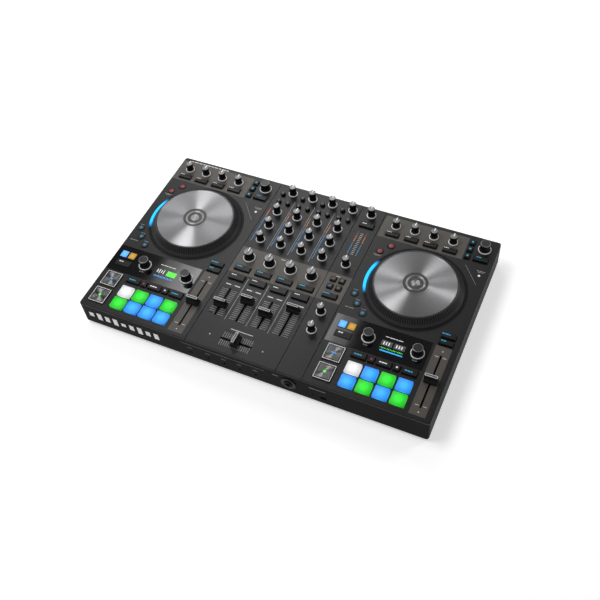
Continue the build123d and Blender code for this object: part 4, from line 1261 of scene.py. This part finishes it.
@dataclass
class CaseDressing:
    """Finishes on the CAD nodes that stay, and the details of the front and rear faces.

    Attributes:
        panel: the panel.
        wheels: the two jog wheels.
        dome_level: level over which a key's upward face takes the glossy dome finish, whose lighter grey is a
            painted highlight.
        meter_reach: how far the meter windows reach from the panel's middle.
        guide_span: inner and outer limit of a light ring, from its wheel's centre.
        guide_front: foremost place of a light ring on the panel.
        shell_reach: how far behind the housing the bare socket shells start.
        dim_from: place on the panel from which the front marks are dim.
    """

    panel: Panel
    wheels: Tuple[JogWheel, ...]
    dome_level: float = 3.6
    meter_reach: float = 88.0
    guide_span: Tuple[float, float] = (60.0, 76.0)
    guide_front: float = -38.5
    shell_reach: float = 0.5
    dim_from: float = -120.0

    def plain(self) -> None:
        """Gives each remaining CAD node its finish."""
        looks = {"upper_housing": Look.CASE, "bottom_cover": Look.COVER, "circuit_boards": Look.BOARD,
                 "case_screws": Look.SCREW, "rubber_feet": Look.RUBBER, "audio_sockets": Look.SOCKET,
                 "control_bodies": Look.SOCKET, "deck_keys": Look.KEY, "mixer_keys": Look.KEY}
        for node, look in looks.items():
            obj = self.node(node)
            obj.data.materials.clear()
            Bench.paint(obj, look)
        domes = self.panel.z + self.dome_level * MM
        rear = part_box("upper_housing")[1].y + self.shell_reach * MM
        # Painted highlight: the upward faces of the tall round keys take a lighter grey than the black key body.
        Bench.paint(self.node("mixer_keys"), Look.DOME_TOP_HIGHLIGHT,
                    lambda face: face.center.z > domes and face.normal.z > 0.5)
        Bench.paint(self.node("audio_sockets"), Look.NICKEL, lambda face: face.center.y > rear)

    def node(self, name: str) -> Piece:
        """Returns a CAD node's object."""
        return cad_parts[name]

    def faceplates(self) -> None:
        """Gives the faceplates their satin charcoal with the warm zones."""
        zones = []
        for wheel in self.wheels:
            x = (wheel.centre()[0] - self.panel.x) / MM
            zones += [(x - 21.0, 132.0, 64.5, 21.5), (x + 68.5, -98.0, 11.2, 55.5)]
        zones.append((-1.2, -3.4, 87.6, 25.0))
        metres = tuple((*self.panel.at(x, y)[:2], hx * MM, hy * MM) for x, y, hx, hy in zones)
        finish = PanelFinish("panel_satin", (0.0080, 0.0080, 0.0087), 0.36, grain=1800.0, depth=0.000008,
                             drift=0.10, specular=0.42, warm=(0.098, 0.088, 0.077), zones=metres)
        plates = self.node("top_faceplates")
        plates.data.materials.clear()
        plates.data.materials.append(finish.build())

    def windows(self) -> None:
        """Gives the bands their gloss, the rings their lit arc and the meter windows their tint."""
        obj = self.node("windows_and_light_guides")
        obj.data.materials.clear()
        Bench.paint(obj, Look.GLASS)
        Bench.paint(obj, Look.METER_OFF, lambda face: abs(face.center.x - self.panel.x) < self.meter_reach * MM)
        near, far = (radius * MM for radius in self.guide_span)
        front = self.panel.y + self.guide_front * MM
        for wheel in self.wheels:
            x, y, _ = wheel.centre()
            finish = ArcFinish(f"light_ring_{wheel.side}", (0.005, 0.005, 0.006), 0.45, centre=(x, y, 0.0),
                               specular=0.2)
            obj.data.materials.append(finish.build())
            index = len(obj.data.materials) - 1
            for face in obj.data.polygons:
                away = Vector((face.center.x - x, face.center.y - y)).length
                if near < away < far and face.center.y > front:
                    face.material_index = index

    def front(self) -> None:
        """Adds the front face's plain bar motif, guide lines and the headphone socket's nut."""
        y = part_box("upper_housing")[0].y
        marks = [(-247.0 + 13.6 * i, -20.0, (7.6, 0.12, height), 0.04)
                 for i, height in enumerate((9.0, 15.0, 12.0, 15.0, 7.0, 11.0, 15.0, 10.0, 13.0))]
        marks += [(x, z, (width, 0.1, height), 0.03) for x, z, width, height in
                  ((-33.0, -10.0, 130.0, 0.6), (-33.0, -10.0, 18.0, 1.6), (48.0, -11.0, 9.0, 1.2),
                   (109.0, -12.0, 24.0, 1.4))]
        marks += [(x, -18.0, (7.0, 0.1, 1.0), 0.03) for x in (-84.0, -56.0, -31.0, -7.0, 17.0)]
        bars = [Bench.slab("bar", (self.panel.x + x * MM, y, self.panel.z + z * MM), size, edge)
                for x, z, size, edge in marks]
        motif = Bench.join(bars, "front_marks")
        Bench.paint(motif, Look.INK)
        Bench.paint(motif, Look.INK_DIM, lambda face: face.center.x > self.panel.x + self.dim_from * MM)
        Bench.mount(motif, "chassis", "panel")
        nut = Bench.tube("jack_nut", (0.0, 0.0, 0.0), 6.4, 3.4, 1.3, 6)
        place = (self.panel.x + 67.0 * MM, y - 1.2 * MM, self.panel.z - 20.0 * MM)
        nut = Bench.place(nut, "headphone_nut", place, (90.0, 0.0, 0.0))
        Bench.paint(nut, Look.CASE)
        Bench.mount(nut, "chassis", "socket")

    def rear(self) -> None:
        """Adds the coloured inserts in the phono sockets."""
        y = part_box("audio_sockets")[1].y - 0.2 * MM
        for side, look, name in ((-1, Look.WHITE_RING, "white"), (1, Look.RED_RING, "red")):
            rings = []
            for x in (-205.0, -173.0, -141.0, -109.0, 8.0):
                ring = Bench.tube("insert", (0.0, 0.0, 0.0), 3.3, 1.75, 0.4, 32)
                place = (self.panel.x + (x + side * 7.5) * MM, y, 20.1 * MM)
                rings.append(Bench.place(ring, "insert", place, (-90.0, 0.0, 0.0)))
            piece = Bench.join(rings, f"phono_inserts_{name}")
            Bench.paint(piece, look)
            Bench.mount(piece, "chassis", "socket")

    def build(self) -> None:
        """Dresses the case."""
        self.plain()
        self.faceplates()
        self.windows()
        self.front()
        self.rear()


# ------------------------------------------------------------ studio


@dataclass
class Softbox:
    """One soft light facing straight down or at a point, brighter in its middle than at its edges."""

    name: str
    place: Point
    size: Tuple[float, float]
    radiance: float
    aim: Optional[Point] = None
    layers: int = 1
    inner: Tuple[float, float] = (0.4, 0.4)

    def build(self) -> None:
        """Makes the light as sheets of shrinking size that add up to its radiance."""
        for i in range(self.layers):
            step = i / max(1, self.layers - 1)
            across, along = (1.0 - (1.0 - part) * step for part in self.inner)
            data = bpy.data.lights.new(f"{self.name}_{i}", "AREA")
            data.shape = "RECTANGLE"
            data.size, data.size_y = self.size[0] * across, self.size[1] * along
            data.energy = self.radiance / self.layers * math.pi * data.size * data.size_y
            lamp = bpy.data.objects.new(data.name, data)
            lamp.location = (self.place[0], self.place[1], self.place[2] + 0.006 * i)
            if self.aim is not None:
                lamp.rotation_mode = "QUATERNION"
                lamp.rotation_quaternion = (Vector(self.aim) - Vector(self.place)).to_track_quat("-Z", "Y")
            bpy.context.scene.collection.objects.link(lamp)


@dataclass
class Studio:
    """Pale floor, soft lights and the camera."""

    panel: Panel
    lens: float = 49.46
    eye: Point = (375.6, -653.5, 919.0)
    right: Point = (0.91015491, 0.4086446, -0.06802665)
    down: Point = (0.28854519, -0.74316052, -0.60370035)
    ahead: Point = (-0.29725361, 0.52983207, -0.79430364)

    def camera(self) -> None:
        """Sets up the camera from its place over the panel and its three directions."""
        data = bpy.data.cameras.new("camera")
        data.lens, data.sensor_width = self.lens, 36.0
        data.clip_start, data.clip_end = 0.01, 30.0
        cam = bpy.data.objects.new("camera", data)
        columns = (Vector(self.right), -Vector(self.down), -Vector(self.ahead))
        turn = Matrix([[c[i] for c in columns] for i in range(3)]).to_4x4()
        cam.matrix_world = Matrix.Translation(self.panel.at(*self.eye)) @ turn
        bpy.context.scene.collection.objects.link(cam)
        bpy.context.scene.camera = cam

    def floor(self) -> None:
        """Lays the pale floor, which shines a little so that it stays white."""
        Bench.clear()
        bpy.ops.mesh.primitive_plane_add(size=12.0, location=(0.0, 0.0, 0.0))
        obj = Bench.settle("floor")
        material, shader = Finish("studio_floor", (0.86, 0.86, 0.86), 0.9, grain=0.0, specular=0.0).start()
        shader.inputs["Emission Color"].default_value = (1.0, 1.0, 1.0, 1.0)
        shader.inputs["Emission Strength"].default_value = 0.53
        obj.data.materials.append(material)

    def build(self) -> None:
        """Makes the studio."""
        self.camera()
        self.floor()
        world = bpy.data.worlds.new("studio")
        world.use_nodes = True
        world.node_tree.nodes["Background"].inputs["Color"].default_value = (1.0, 1.0, 1.0, 1.0)
        world.node_tree.nodes["Background"].inputs["Strength"].default_value = 0.10
        bpy.context.scene.world = world
        bpy.context.scene.view_settings.view_transform = "Standard"
        for box in (Softbox("band_box", (-0.695, 0.880, 1.546), (0.80, 0.25), 7.0, layers=5, inner=(0.38, 0.75)),
                    Softbox("back_left", (-0.95, 1.80, 1.546), (2.5, 1.5), 1.7, layers=4),
                    Softbox("back_top", (-0.80, 1.62, 1.60), (0.7, 0.5), 5.0, layers=2),
                    Softbox("key_left", (-0.84, -0.28, 1.9), (1.1, 0.8), 7.0, aim=(0.0, 0.0, 0.0)),
                    Softbox("back_right", (1.2, 1.0, 1.1), (0.5, 0.5), 6.5, aim=(0.0, 0.0, 0.0))):
            box.build()


def main() -> None:
    """Builds the controller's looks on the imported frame, in order."""
    logging.basicConfig(level=logging.INFO, format="%(name)s: %(message)s")
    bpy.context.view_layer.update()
    panel = Panel.read()
    studio = Studio(panel)
    studio.build()
    wheels = tuple(JogWheel(panel, side) for side in ("left", "right"))
    CaseDressing(panel, wheels).build()
    for wheel in wheels:
        wheel.build()
    blue, green, white = Look.PAD_BLUE, Look.PAD_GREEN, Look.PAD_WHITE
    DeckFace(panel, "left", wheels[0], (white, green, blue, green, green, blue, blue, blue), True).build()
    DeckFace(panel, "right", wheels[1], (white, blue, green, blue, blue, green, blue, green), False).build()
    MixerFace(panel).build()
    KnobMaker(panel).build()
    FaderMaker(panel).build()


if __name__ == "__main__":
    main()
